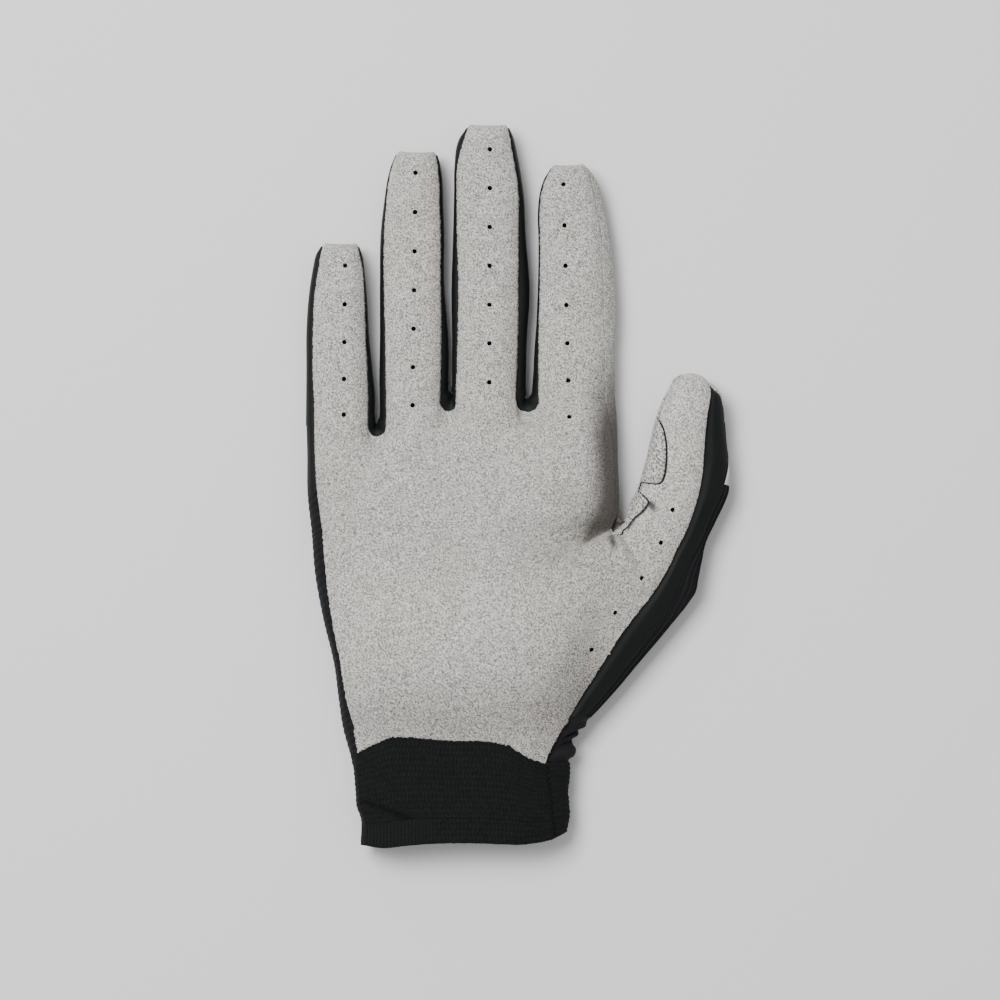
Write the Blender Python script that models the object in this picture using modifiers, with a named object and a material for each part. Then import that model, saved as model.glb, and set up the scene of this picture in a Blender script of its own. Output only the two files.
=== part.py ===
"""A right-hand motocross glove, lying on its back with the palm up and the fingers along +Y.

Every panel is cut from one hand form. The form's inner face is worked out from the sizes below:
a hand block, four fingers, a thumb and a cuff, each with its seams and its outline in plan.
A panel is an open grid on that face, thickened outwards by the cloth's wall.
"""

from collections import namedtuple
import math

import bmesh
import bpy
import numpy as np

# Sizes of the hand, in metres. The plan is measured from the middle of the wrist seam.
PALM_WIDTH = 0.0986
PALM_LENGTH = 0.1072
PALM_THICKNESS = 0.0235
HAND_EDGE_THICKNESS = 0.0185
WRIST_THICKNESS = 0.0180

# Sizes of the fingers and the thumb, outside the cloth.
LITTLE_LENGTH = 0.0583
RING_LENGTH = 0.0838
MIDDLE_LENGTH = 0.0883
INDEX_LENGTH = 0.0762
THUMB_LENGTH = 0.0637
LITTLE_WIDTH = 0.0214
RING_WIDTH = 0.0214
MIDDLE_WIDTH = 0.0240
INDEX_WIDTH = 0.0246
THUMB_WIDTH = 0.0230
FINGER_THICKNESS = 0.0145
THUMB_THICKNESS = 0.0175
TIP_ROLL = 0.0050
TIP_WRAP = 0.0120

# Sizes of the cuff.
CUFF_WIDTH = 0.0710
CUFF_LENGTH = 0.0306
HEM_HEIGHT = 0.0075
WRIST_ARCH = 0.0045
HEM_LIFT = 0.0016

# The cloth, its seams and the holes.
WALL = 0.0011
SEAM_GAP = 0.0005
WEB_GAP = 0.0014
SEAM_TUCK = 0.0004
LEAST_BULGE = 0.0003
HOLE_DIAMETER = 0.0016
CROTCH_LIFT = 0.0026
DEEP_CROTCH_LIFT = 0.0040
WEB_LIFT = 0.0085
LIFT_REACH = 0.4

# Shapes of the sections, as shares.
SEAM_RISE = 0.55
THUMB_BAND_RISE = 0.72
BACK_RISE = 0.60
FLAT_SHARE = 0.55
CROWN_POWER = 2.2
CROTCH_DIP = 0.25
EDGE_FADE = 2.4
ROLL_POWER = 0.8
CROWN_ACROSS_POWER = 2.6
CROWN_ALONG_POWER = 3
HEM_RISE_START = 0.7
HOLE_FLOOR = 0.6

# How soon a mound or the resting back is in full force, as a share of the hand block from its seams.
MOUND_EASE = 1 / 6
REST_EASE = 0.2
HEEL_EASE = 1 / 6

# How many faces each stretch gets. A side's rows end just short of the tip.
SIDE_TURNS = (math.pi / 6, math.pi / 3, 0.45 * math.pi)
FRONT_ACROSS = (-1.0, -0.5, 0.0, 0.5, 1.0)
BACK_ACROSS = (-1.0, -FLAT_SHARE, FLAT_SHARE, 1.0)
FINGER_ROWS = 8
BACK_ROWS = 4
ROLL_ROWS = 6
ARC_ROWS = 3
WEB_ROWS = 3
BAND_COLUMNS = 4
HOLE_SIDES = 8

Finger = namedtuple(
    "Finger",
    "across up length width thickness lean slant left_rise right_rise left_lift right_lift holes sections",
)
Section = namedtuple("Section", "along outer_left seam_left seam_right outer_right")
Edge = namedtuple("Edge", "up seam outer lift", defaults=(0.0,))
Crotch = namedtuple("Crotch", "left right depth outer_depth")
Mound = namedtuple("Mound", "across up width height lift")
Holes = namedtuple("Holes", "count first last across")

# Each row is a station: its share of the length, then edges and seams as shares of half the width.
LITTLE_SECTIONS = (
    Section(0.00, -1.03, -0.77, 0.85, 1.03),
    Section(0.12, -1.03, -0.78, 0.86, 1.03),
    Section(0.30, -1.03, -0.83, 0.82, 0.95),
    Section(0.50, -1.04, -0.83, 0.76, 0.84),
    Section(0.70, -0.98, -0.80, 0.72, 0.77),
    Section(0.85, -0.87, -0.69, 0.66, 0.69),
    Section(0.94, -0.77, -0.62, 0.56, 0.62),
    Section(1.00, -0.65, -0.56, 0.50, 0.54),
)
RING_SECTIONS = (
    Section(0.00, -1.02, -0.82, 0.79, 1.01),
    Section(0.10, -1.04, -0.84, 0.81, 1.03),
    Section(0.30, -1.04, -0.88, 0.82, 1.00),
    Section(0.50, -1.06, -0.94, 0.78, 0.87),
    Section(0.70, -1.05, -0.94, 0.76, 0.85),
    Section(0.80, -0.97, -0.89, 0.72, 0.81),
    Section(0.90, -0.86, -0.81, 0.69, 0.77),
    Section(1.00, -0.64, -0.60, 0.58, 0.64),
)
MIDDLE_SECTIONS = (
    Section(0.00, -0.95, -0.85, 0.77, 1.03),
    Section(0.20, -0.95, -0.81, 0.82, 1.05),
    Section(0.40, -0.97, -0.79, 0.83, 1.12),
    Section(0.60, -0.93, -0.83, 0.83, 1.01),
    Section(0.75, -0.91, -0.84, 0.82, 0.95),
    Section(0.85, -0.90, -0.83, 0.72, 0.84),
    Section(0.93, -0.83, -0.68, 0.61, 0.72),
    Section(1.00, -0.60, -0.54, 0.52, 0.58),
)
INDEX_SECTIONS = (
    Section(0.00, -1.16, -0.99, 0.76, 1.01),
    Section(0.08, -1.11, -0.98, 0.76, 1.02),
    Section(0.20, -1.06, -0.96, 0.77, 1.03),
    Section(0.35, -0.98, -0.93, 0.77, 1.10),
    Section(0.50, -0.92, -0.88, 0.77, 1.08),
    Section(0.70, -0.88, -0.85, 0.74, 0.98),
    Section(0.80, -0.88, -0.84, 0.66, 0.88),
    Section(0.90, -0.79, -0.75, 0.56, 0.74),
    Section(1.00, -0.53, -0.49, 0.40, 0.46),
)
THUMB_SECTIONS = (
    Section(-0.13, -0.80, -0.85, 0.54, 1.83),
    Section(0.12, -0.72, -0.79, 0.88, 1.72),
    Section(0.19, -0.70, -0.60, 0.96, 1.72),
    Section(0.30, -0.64, -0.36, 1.04, 1.78),
    Section(0.42, -0.60, -0.20, 1.06, 1.85),
    Section(0.54, -0.60, -0.12, 1.00, 1.79),
    Section(0.63, -0.63, -0.24, 0.90, 1.64),
    Section(0.73, -0.64, -0.56, 0.79, 1.42),
    Section(0.82, -0.59, -0.55, 0.71, 1.24),
    Section(0.91, -0.50, -0.46, 0.66, 1.05),
    Section(1.00, -0.30, -0.26, 0.45, 0.58),
)

# The band's share of the thumb side's plan width, from the wrist to the tip.
THUMB_BAND_SHARE = 0.56

# Thickness along a finger: share of the length, share of the finger's thickness.
SWELLING = ((0.0, 1.14), (0.35, 1.02), (0.7, 0.97), (1.0, 0.86))

FINGERS = {
    "little": Finger(-0.362, 0.970, LITTLE_LENGTH, LITTLE_WIDTH, FINGER_THICKNESS, 0.5, 0.0,
                     SEAM_RISE, SEAM_RISE, 0.0, CROTCH_LIFT, Holes(5, 0.055, 0.906, 0.13), LITTLE_SECTIONS),
    "ring": Finger(-0.123, 1.000, RING_LENGTH, RING_WIDTH, FINGER_THICKNESS, 0.7, 0.045,
                   SEAM_RISE, SEAM_RISE, CROTCH_LIFT, DEEP_CROTCH_LIFT, Holes(7, 0.035, 0.923, -0.02), RING_SECTIONS),
    "middle": Finger(0.117, 1.045, MIDDLE_LENGTH, MIDDLE_WIDTH, FINGER_THICKNESS, 0.2, 0.0,
                     SEAM_RISE, SEAM_RISE, DEEP_CROTCH_LIFT, CROTCH_LIFT, Holes(7, 0.062, 0.905, 0.05), MIDDLE_SECTIONS),
    "index": Finger(0.406, 1.039, INDEX_LENGTH, INDEX_WIDTH, FINGER_THICKNESS, -1.4, 0.0,
                    SEAM_RISE, SEAM_RISE, CROTCH_LIFT, CROTCH_LIFT, Holes(7, -0.063, 0.913, -0.20), INDEX_SECTIONS),
    "thumb": Finger(0.610, 0.549, THUMB_LENGTH, THUMB_WIDTH, THUMB_THICKNESS, 15.4, -0.125,
                    SEAM_RISE, THUMB_BAND_RISE, WEB_LIFT, 0.0, Holes(0, 0.0, 0.0, 0.0), THUMB_SECTIONS),
}

# The hand's two free edges: height as a share of the palm's length, the rest as shares of its width.
LITTLE_EDGE = (
    Edge(-0.01, -0.305, -0.331),
    Edge(0.06, -0.315, -0.352),
    Edge(0.15, -0.341, -0.367),
    Edge(0.25, -0.359, -0.381),
    Edge(0.39, -0.388, -0.417),
    Edge(0.52, -0.407, -0.443),
    Edge(0.66, -0.420, -0.456),
    Edge(0.75, -0.433, -0.467),
    Edge(0.88, -0.443, -0.469),
    Edge(0.97, -0.445, -0.472),
)
THUMB_EDGE = (
    Edge(-0.042, 0.305, 0.390),
    Edge(-0.012, 0.318, 0.407),
    Edge(0.020, 0.331, 0.392),
    Edge(0.045, 0.350, 0.419),
    Edge(0.072, 0.368, 0.440),
    Edge(0.12, 0.398, 0.482),
    Edge(0.18, 0.438, 0.540),
    Edge(0.25, 0.487, 0.603),
    Edge(0.34, 0.549, 0.686),
    Edge(0.41, 0.606, 0.750),
)
GATHERED_ROWS = 4

# The crotches between neighbouring fingers: how deep the seam's and the outline's arcs are.
CROTCHES = (
    Crotch("little", "ring", 0.0033, 0.0016),
    Crotch("ring", "middle", 0.0031, 0.0014),
    Crotch("middle", "index", 0.0034, 0.0016),
)
WEB = Crotch("index", "thumb", 0.0014, 0.0026)

# The index side's stretch below the finger, down to the web.
INDEX_EDGE = (
    Edge(0.66, 0.510, 0.547, 0.053),
    Edge(0.74, 0.514, 0.546, 0.035),
    Edge(0.84, 0.511, 0.542, 0.024),
    Edge(0.94, 0.506, 0.540, 0.022),
)

# Mounds and hollows of the palm: centre, reach and lift, as shares of the palm.
MOUNDS = (
    Mound(0.42, 0.42, 0.17, 0.20, 0.0030),
    Mound(-0.27, 0.30, 0.14, 0.24, 0.0012),
    Mound(0.02, 0.50, 0.16, 0.20, -0.0022),
    Mound(0.40, 0.60, 0.07, 0.04, -0.0010),
)

# The palm insert's arched edge: share of the seam's width, share of the arch's height.
ARCH = (
    (0.00, -0.20),
    (0.09, 0.43),
    (0.18, 0.92),
    (0.27, 0.95),
    (0.46, 0.71),
    (0.75, 0.50),
    (0.80, 0.34),
    (0.86, -0.14),
    (0.91, -0.57),
    (1.00, -1.00),
)

# The cuff, from the wrist seam down: share of its length, then shares of half its width.
CUFF_SECTIONS = (
    Section(0.00, -0.919, -0.847, 0.847, 1.070),
    Section(0.20, -0.885, -0.850, 0.862, 1.068),
    Section(0.42, -0.869, -0.835, 0.880, 1.053),
    Section(0.60, -0.856, -0.815, 0.895, 1.063),
    Section(0.70, -0.825, -0.785, 0.905, 1.068),
    Section(1.00, -0.820, -0.775, 0.920, 1.040),
)

# The thumb side's rows and the plain patch let into it, as shares of the thumb's length and of the side.
THUMB_BACK_ROWS = (0.0, 0.15, 0.30, 0.44, 0.60)
THUMB_BACK_PLACES = (0.2, -0.4, -1.0)
PATCH_ROW = 3

# The thumb base's holes, as shares of the palm.
THENAR_HOLES = ((0.717, 0.716), (0.679, 0.618), (0.617, 0.513), (0.532, 0.409), (0.455, 0.299))

SUEDE = (0.42, 0.40, 0.375)
SUEDE_SHADE = (0.36, 0.335, 0.315)
SMOOTH_BLACK = (0.012, 0.014, 0.014)
RIBBED_BLACK = (0.016, 0.015, 0.018)
KNIT_BLACK = (0.014, 0.014, 0.014)
PLAIN_GREY = (0.45, 0.44, 0.43)


def smooth_read(places, values, at):
    """A smooth curve through the rows of a table, read at the given places."""
    places = np.asarray(places, float)
    values = np.asarray(values, float)
    slopes = np.gradient(values, places)
    at = np.clip(at, places[0], places[-1])
    low = np.clip(np.searchsorted(places, at) - 1, 0, len(places) - 2)
    span = places[low + 1] - places[low]
    t = (at - places[low]) / span
    start = (1 + 2 * t) * (1 - t) ** 2 * values[low] + t * (1 - t) ** 2 * span * slopes[low]
    end = t * t * (3 - 2 * t) * values[low + 1] + t * t * (t - 1) * span * slopes[low + 1]
    return start + end


def column(table, name, at):
    """A named column of a table, read smoothly along its first column."""
    return smooth_read([row[0] for row in table], [getattr(row, name) for row in table], at)


def easing(value):
    """Eases from 0 to 1 and stays there."""
    value = np.clip(value, 0, 1)
    return value * value * (3 - 2 * value)


def finger_axes(finger):
    """The root's point in plan, and the directions along and across the finger."""
    lean = math.radians(finger.lean)
    root = np.array([finger.across * PALM_WIDTH, finger.up * PALM_LENGTH])
    return root, np.array([math.sin(lean), math.cos(lean)]), np.array([math.cos(lean), -math.sin(lean)])


def finger_sizes(finger, along):
    """Inner edges, seams, half thickness and middle height at a share of the length."""
    half = finger.width / 2
    outer_left = column(finger.sections, "outer_left", along) * half + WALL
    outer_right = column(finger.sections, "outer_right", along) * half - WALL
    seam_left = column(finger.sections, "seam_left", along) * half + SEAM_TUCK
    seam_right = column(finger.sections, "seam_right", along) * half - SEAM_TUCK
    seam_left = np.maximum(seam_left, outer_left + LEAST_BULGE)
    seam_right = np.minimum(seam_right, outer_right - LEAST_BULGE)
    shares = np.array(SWELLING)
    thickness = finger.thickness * smooth_read(shares[:, 0], shares[:, 1], along)
    return outer_left, seam_left, seam_right, outer_right, thickness / 2 - WALL, thickness / 2


def crowned(across, left_rise, right_rise):
    """The front's height over a section, as a share of the half thickness: seams low, middle high."""
    rise = left_rise + (right_rise - left_rise) * (across + 1) / 2
    return rise + (1 - rise) * (1 - np.abs(across) ** CROWN_POWER)


def flattened(across):
    """The back's depth over a section: a flat middle that turns up to the seams."""
    turn = np.clip((np.abs(across) - FLAT_SHARE) / (1 - FLAT_SHARE), 0, 1)
    return BACK_RISE + (1 - BACK_RISE) * (1 - turn * turn)


def slanted(finger, row, across):
    return row + finger.slant * across * (1 - np.clip(row, 0, 1)) ** 3


def finger_grid(finger, rows, across):
    """Points of a finger's front and back. A row is (share of length, side), where side is 1 on the
    front, -1 on the back and in between over the tip."""
    row, side = np.array(rows, float).T
    across = np.asarray(across, float)[None, :]
    along = slanted(finger, row[:, None], across)
    _, left, right, _, half, middle = finger_sizes(finger, along)
    offset = left + (right - left) * (across + 1) / 2
    root, forward, sideways = finger_axes(finger)
    reach = finger.length - WALL
    plan = root + along[..., None] * reach * forward + offset[..., None] * sideways
    front = half * crowned(across, finger.left_rise, finger.right_rise)
    back = half * flattened(across)
    side = side[:, None]
    height = middle + np.where(side >= 0, side * front, side * back)
    return np.concatenate([plan, height[..., None]], axis=2)


def roll_start(finger):
    return 1 - TIP_ROLL / finger.length


def front_rows(finger):
    return [(share, 1.0) for share in np.linspace(0, roll_start(finger), FINGER_ROWS + 1)]


def roll_rows(finger, turns):
    """Rows over the tip, whose profile is a squarish half ring."""
    start = roll_start(finger)
    rows = []
    for turn in turns:
        reach = math.sin(turn) ** ROLL_POWER
        side = math.copysign(abs(math.cos(turn)) ** ROLL_POWER, math.cos(turn))
        rows.append((start + (1 - start) * reach, side))
    return rows


def wrap_end(finger):
    return 1 - TIP_WRAP / finger.length


def tongue_rows(finger):
    """Up the front, over the tip and down the wrap."""
    over = roll_rows(finger, np.linspace(0, math.pi, ROLL_ROWS + 1)[1:])
    return front_rows(finger) + over + [(wrap_end(finger), -1.0)]


def back_rows(finger, side=-1.0):
    """Rows of the back cloth, up to the tip's wrap."""
    shares = np.linspace(0, wrap_end(finger), BACK_ROWS + 1)
    if finger is FINGERS["thumb"]:
        shares = [*THUMB_BACK_ROWS, wrap_end(finger)]
    return [(share, side) for share in shares]


def finger_side(finger, side, rows):
    """Stations of one side: seam x y, outline x y, front seam height, back seam height."""
    row, turn = np.array(rows, float).T
    along = slanted(finger, row, side)
    outer_left, seam_left, seam_right, outer_right, half, middle = finger_sizes(finger, along)
    seam = seam_right if side > 0 else seam_left
    outer = outer_right if side > 0 else outer_left
    rise = finger.right_rise if side > 0 else finger.left_rise
    root, forward, sideways = finger_axes(finger)
    reach = along * (finger.length - WALL)
    seam_plan = root + np.outer(reach, forward) + np.outer(seam, sideways)
    lift = (finger.right_lift if side > 0 else finger.left_lift) * (1 - easing(row / LIFT_REACH))
    outer_plan = root + np.outer(reach + lift, forward) + np.outer(outer, sideways)
    outer_plan = seam_plan + (outer_plan - seam_plan) * np.sqrt(turn)[:, None]
    heights = np.stack([middle + turn * half * rise, middle - turn * half * BACK_RISE], axis=1)
    return np.concatenate([seam_plan, outer_plan, heights], axis=1)


def side_rows(finger):
    """Rows from the root to just short of the tip."""
    return front_rows(finger) + roll_rows(finger, SIDE_TURNS)


def arc_stations(start, end, crotch, rows):
    """Stations round a crotch, from one finger's root to the next one's."""
    turn = np.linspace(0, math.pi, rows + 1)[1:-1, None]

    def arc(first, last, depth):
        half = (last - first) / 2
        down = np.array([half[1], -half[0]]) / np.linalg.norm(half)
        return (first + last) / 2 - half * np.cos(turn) + depth * np.sin(turn) * down

    share = (1 - np.cos(turn)) / 2
    heights = start[4:] + (end[4:] - start[4:]) * share
    middle = heights.mean(axis=1, keepdims=True)
    heights = middle + (heights - middle) * (1 - CROTCH_DIP * np.sin(turn))
    seam = arc(start[:2], end[:2], crotch.depth)
    outer = arc(start[2:4], end[2:4], crotch.outer_depth)
    return np.concatenate([seam, outer, heights], axis=1)


def edge_stations(table, ups, side, front_rise, middle, half):
    """Stations along a free edge of the hand, at shares of the palm's length."""
    seam = column(table, "seam", ups) * PALM_WIDTH - side * SEAM_TUCK
    outer = column(table, "outer", ups) * PALM_WIDTH - side * WALL
    seam = side * np.minimum(side * seam, side * outer - LEAST_BULGE)
    height = ups * PALM_LENGTH
    heights = (middle + half * front_rise, middle - half * BACK_RISE)
    lifted = height + column(table, "lift", ups) * PALM_LENGTH
    return np.stack([seam, height, outer, lifted, *heights], axis=1)


def side_strip(stations, places):
    """A bulging strip: place 1 is the front seam, 0 the outline and -1 the back seam."""
    places = np.asarray(places, float)[None, :, None]
    seam = stations[:, None, 0:2]
    outer = stations[:, None, 2:4]
    front = stations[:, None, 4:5]
    back = stations[:, None, 5:6]
    plan = seam + (outer - seam) * (1 - places**2)
    height = (front + back) / 2 + (front - back) / 2 * places
    return np.concatenate([plan, height], axis=2)


def shares_along(curve):
    """How far along a curve each of its points lies in plan, from 0 to 1."""
    run = np.cumsum(np.linalg.norm(np.diff(curve[:, :2], axis=0), axis=1))
    return np.concatenate([[0], run / run[-1]])


def filled(bottom, top, left, right):
    """The surface spanned by four boundary curves: a patch between the corners, to which each curve adds
    its own departure from a straight line, fading as a power of the distance across."""
    u = shares_along(top)
    rise = left[:, 1]
    v = (rise - rise[0]) / (rise[-1] - rise[0])
    u = u[None, :, None]
    v = v[:, None, None]
    corners = (1 - u) * (1 - v) * bottom[0] + u * (1 - v) * bottom[-1]
    corners = corners + (1 - u) * v * top[0] + u * v * top[-1]
    grid = corners + (1 - u) ** EDGE_FADE * (left[:, None] - corners[:, :1])
    grid += u**EDGE_FADE * (right[:, None] - corners[:, -1:])
    grid += (1 - v) ** EDGE_FADE * (bottom[None] - corners[:1])
    grid += v**EDGE_FADE * (top[None] - corners[-1:])
    return grid, u[..., 0], v[..., 0]


class HandForm:
    """The boundary stations that neighbouring panels share."""

    def __init__(self):
        self.across = {1: FRONT_ACROSS, -1: BACK_ACROSS}
        self.sides = {
            (name, side): finger_side(finger, side, side_rows(finger))
            for name, finger in FINGERS.items()
            for side in (-1, 1)
        }
        self.arcs = [
            arc_stations(self.sides[c.left, 1][0], self.sides[c.right, -1][0], c, ARC_ROWS)
            for c in CROTCHES
        ]
        self.lay_edges()

    def lay_edges(self):
        index_root = self.sides["index", 1][0]
        thumb_right = self.sides["thumb", 1][0]
        thumb_left = self.sides["thumb", -1][0]
        wrist_half = WRIST_THICKNESS / 2 - WALL
        edge_half = HAND_EDGE_THICKNESS / 2 - WALL

        ups = np.array([edge.up for edge in THUMB_EDGE])
        share = easing((ups - ups[0]) / (thumb_right[1] / PALM_LENGTH - ups[0]))
        thumb_middle = (thumb_right[4] / THUMB_BAND_RISE + thumb_right[5] / BACK_RISE) / (
            1 / THUMB_BAND_RISE + 1 / BACK_RISE
        )
        thumb_half = (thumb_right[4] - thumb_middle) / THUMB_BAND_RISE
        middle = WRIST_THICKNESS / 2 + (thumb_middle - WRIST_THICKNESS / 2) * share
        half = wrist_half + (thumb_half - wrist_half) * share
        rise = SEAM_RISE + (THUMB_BAND_RISE - SEAM_RISE) * share
        self.thumb_edge = edge_stations(THUMB_EDGE, ups, 1, rise, middle, half)
        self.thumb_edge = np.concatenate([self.thumb_edge, thumb_right[None]])

        ups = np.array([edge.up for edge in INDEX_EDGE])
        share = (ups - ups[0]) / (index_root[1] / PALM_LENGTH - ups[0])
        middle = HAND_EDGE_THICKNESS / 2 + 0 * ups
        self.index_edge = edge_stations(INDEX_EDGE, ups, 1, SEAM_RISE, middle, edge_half + 0 * ups)
        self.index_edge[:, 4:] += (index_root[4:] - self.index_edge[:, 4:]) * share[:, None]
        self.web = arc_stations(self.index_edge[0], thumb_left, WEB, WEB_ROWS)
        self.little_edge = {side: self.lay_little_edge(side) for side in (1, -1)}
        self.band_end = -len(INDEX_EDGE)

    def lay_little_edge(self, side):
        """The little finger's side of the hand, with a station for each one on the thumb's side."""
        stops = (
            (-0.01, 0.07, GATHERED_ROWS),
            (0.07, 0.42, len(THUMB_EDGE) - GATHERED_ROWS),
            (0.42, 0.60, len(self.across[side]) - 1),
            (0.60, 0.66, len(self.web) + 1),
            (0.66, 0.97, len(INDEX_EDGE)),
        )
        ups = np.concatenate([np.linspace(low, high, rows + 1)[:-1] for low, high, rows in stops])
        little_root = self.sides["little", -1][0]
        share = easing(ups / stops[-1][1])
        middle = WRIST_THICKNESS / 2 + (HAND_EDGE_THICKNESS - WRIST_THICKNESS) / 2 * share
        edge = edge_stations(LITTLE_EDGE, ups, -1, SEAM_RISE, middle, middle - WALL)
        edge[:, 4:] += (little_root[4:] - edge[:, 4:]) * easing((ups - 0.8) / 0.17)[:, None]
        return np.concatenate([edge, little_root[None]])

    def boundary(self, side):
        """Bottom, top, left and right curves of the hand block, on the front (1) or the back (-1)."""
        level = 4 if side > 0 else 5

        def seam(stations):
            return stations[:, [0, 1, level]]

        def root_row(name):
            return finger_grid(FINGERS[name], [(0.0, float(side))], self.across[side])[0]

        top = [root_row("little")]
        for crotch, arc in zip(CROTCHES, self.arcs):
            top += [seam(arc), root_row(crotch.right)]
        top = np.concatenate(top)
        right = [seam(self.thumb_edge)[:-1], root_row("thumb")[::-1], seam(self.web)[::-1]]
        right = np.concatenate(right + [seam(self.index_edge), top[-1:]])
        left = seam(self.little_edge[side])
        return self.wrist_curve(top, left[0], right[0], side), top, left, right

    def wrist_curve(self, top, start, end, side):
        share = shares_along(top)
        across = 2 * share - 1
        half = WRIST_THICKNESS / 2 - WALL
        curve = start + (end - start) * share[:, None]
        if side > 0:
            arch = np.array(ARCH)
            height = WRIST_ARCH * smooth_read(arch[:, 0], arch[:, 1], share)
            ends = height[0] + (height[-1] - height[0]) * share
            curve[:, 1] += height - ends
            curve[:, 2] = WRIST_THICKNESS / 2 + half * crowned(across, SEAM_RISE, SEAM_RISE)
        else:
            curve[:, 2] = WRIST_THICKNESS / 2 - half * flattened(across)
        return curve

    def palm_block(self):
        grid, u, v = filled(*self.boundary(1))
        crown = (1 - np.abs(2 * u - 1) ** CROWN_ACROSS_POWER) * (1 - np.abs(2 * v - 1) ** CROWN_ALONG_POWER)
        grid[..., 2] += (PALM_THICKNESS - HAND_EDGE_THICKNESS) * crown
        hold = np.clip(np.minimum(np.minimum(u, 1 - u), np.minimum(v, 1 - v)) / MOUND_EASE, 0, 1)
        for mound in MOUNDS:
            reach = ((grid[..., 0] / PALM_WIDTH - mound.across) / mound.width) ** 2
            reach = reach + ((grid[..., 1] / PALM_LENGTH - mound.up) / mound.height) ** 2
            grid[..., 2] += mound.lift * np.exp(-reach) * hold
        return grid

    def back_block(self):
        grid, u, v = filled(*self.boundary(-1))
        inside = easing(u / REST_EASE) * easing((1 - u) / REST_EASE) * easing((1 - v) / REST_EASE)
        bottom = grid[0, :, 2] - WALL
        lift = (grid[..., 2] - WALL) * (1 - inside)
        grid[..., 2] = WALL + np.maximum(lift, bottom * (1 - easing(v / HEEL_EASE)) * (1 - inside))
        grid[0, :, 2] = bottom + WALL
        return grid


def cuff_grid(form, levels, part):
    """The cuff's palm face, back face or a side, at shares of its length."""
    levels = np.asarray(levels, float)
    bottom_front = form.boundary(1)[0]
    bottom_back = form.boundary(-1)[0]
    half = CUFF_WIDTH / 2
    left = form.little_edge[1][0]
    right = form.thumb_edge[0]

    def level(name, start):
        shape = column(CUFF_SECTIONS, name, levels) - column(CUFF_SECTIONS, name, 0.0)
        return start + shape * half

    seam_left = level("seam_left", left[0])
    seam_right = level("seam_right", right[0])
    outer_left = np.minimum(level("outer_left", left[2]), seam_left - LEAST_BULGE)
    outer_right = np.maximum(level("outer_right", right[2]), seam_right + LEAST_BULGE)
    left_end = -CUFF_LENGTH
    right_end = -CUFF_LENGTH + HEM_LIFT

    def stations(seam, outer, start, end, outer_end):
        height = start[1] + (end - start[1]) * levels
        outer_height = start[3] + (outer_end - start[3]) * levels
        heights = np.tile(start[4:], (len(levels), 1))
        return np.concatenate([np.stack([seam, height, outer, outer_height], axis=1), heights], axis=1)

    if part == "left":
        return stations(seam_left, outer_left, left, left_end, left_end)
    if part == "right":
        return stations(seam_right, outer_right, right, right_end, right_end + HEM_LIFT)
    start = bottom_front if part == "front" else bottom_back
    share = (start[:, 0] - start[0, 0]) / (start[-1, 0] - start[0, 0])
    grid = np.empty((len(levels), len(share), 3))
    grid[..., 0] = seam_left[:, None] + (seam_right - seam_left)[:, None] * share
    end = left_end + HEM_LIFT * easing((share - HEM_RISE_START) / (1 - HEM_RISE_START))
    grid[..., 1] = start[:, 1] + (end - start[:, 1]) * levels[:, None]
    grid[..., 2] = start[:, 2]
    return grid


class Panel:
    """Collects grids into one sheet, trims its edge by half a seam gap and gives it its wall."""

    def __init__(self, name, colour, roughness, gap=SEAM_GAP):
        self.name = name
        self.colour = colour
        self.roughness = roughness
        self.gap = gap
        self.grids = []

    def add(self, grid, flip=False):
        self.grids.append(grid[:, ::-1] if flip else grid)
        return self

    def build(self, collection, centre):
        points = []
        faces = []
        count = 0
        for grid in self.grids:
            rows, columns = grid.shape[:2]
            index = count + np.arange(rows * columns).reshape(rows, columns)
            quads = np.stack([index[:-1, :-1], index[:-1, 1:], index[1:, 1:], index[1:, :-1]], axis=-1)
            faces.append(quads.reshape(-1, 4))
            points.append(grid.reshape(-1, 3) - centre)
            count += rows * columns
        mesh = bpy.data.meshes.new(self.name)
        mesh.from_pydata(np.concatenate(points).tolist(), [], np.concatenate(faces).tolist())
        sheet = bmesh.new()
        sheet.from_mesh(mesh)
        bmesh.ops.remove_doubles(sheet, verts=sheet.verts[:], dist=1e-5)
        trim_edges(sheet, self.gap / 2)
        sheet.to_mesh(mesh)
        sheet.free()
        panel = bpy.data.objects.new(self.name, mesh)
        collection.objects.link(panel)
        mesh.materials.append(cloth_material(self.name, self.colour, self.roughness))
        wall = panel.modifiers.new("Wall", "SOLIDIFY")
        wall.thickness = WALL
        wall.offset = 1
        wall.use_quality_normals = True
        mesh.shade_smooth()
        mesh.set_sharp_from_angle(angle=math.radians(40))
        return panel


def trim_edges(sheet, amount):
    """Draws the sheet's free edge inwards, within its own surface."""
    moves = {}
    for edge in sheet.edges:
        if not edge.is_boundary:
            continue
        face = edge.link_faces[0]
        face.normal_update()
        inward = face.normal.cross(edge.verts[1].co - edge.verts[0].co).normalized()
        if inward.dot(face.calc_center_median() - edge.verts[0].co) < 0:
            inward.negate()
        for vertex in edge.verts:
            moves.setdefault(vertex, []).append(inward)
    for vertex, inwards in moves.items():
        total = inwards[0].copy()
        for inward in inwards[1:]:
            total += inward
        if total.length < 1e-6:
            continue
        total.normalize()
        vertex.co += total * (amount / max(total.dot(inwards[0]), 0.5))


def cloth_material(name, colour, roughness):
    material = bpy.data.materials.new(name)
    material.use_nodes = True
    shader = material.node_tree.nodes["Principled BSDF"]
    shader.inputs["Base Color"].default_value = (*colour, 1)
    shader.inputs["Roughness"].default_value = roughness
    shader.inputs["Metallic"].default_value = 0
    return material


def band_places():
    """Places across a whole side, from the front seam to the back one."""
    return np.linspace(1, -1, BAND_COLUMNS + 1)


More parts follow.
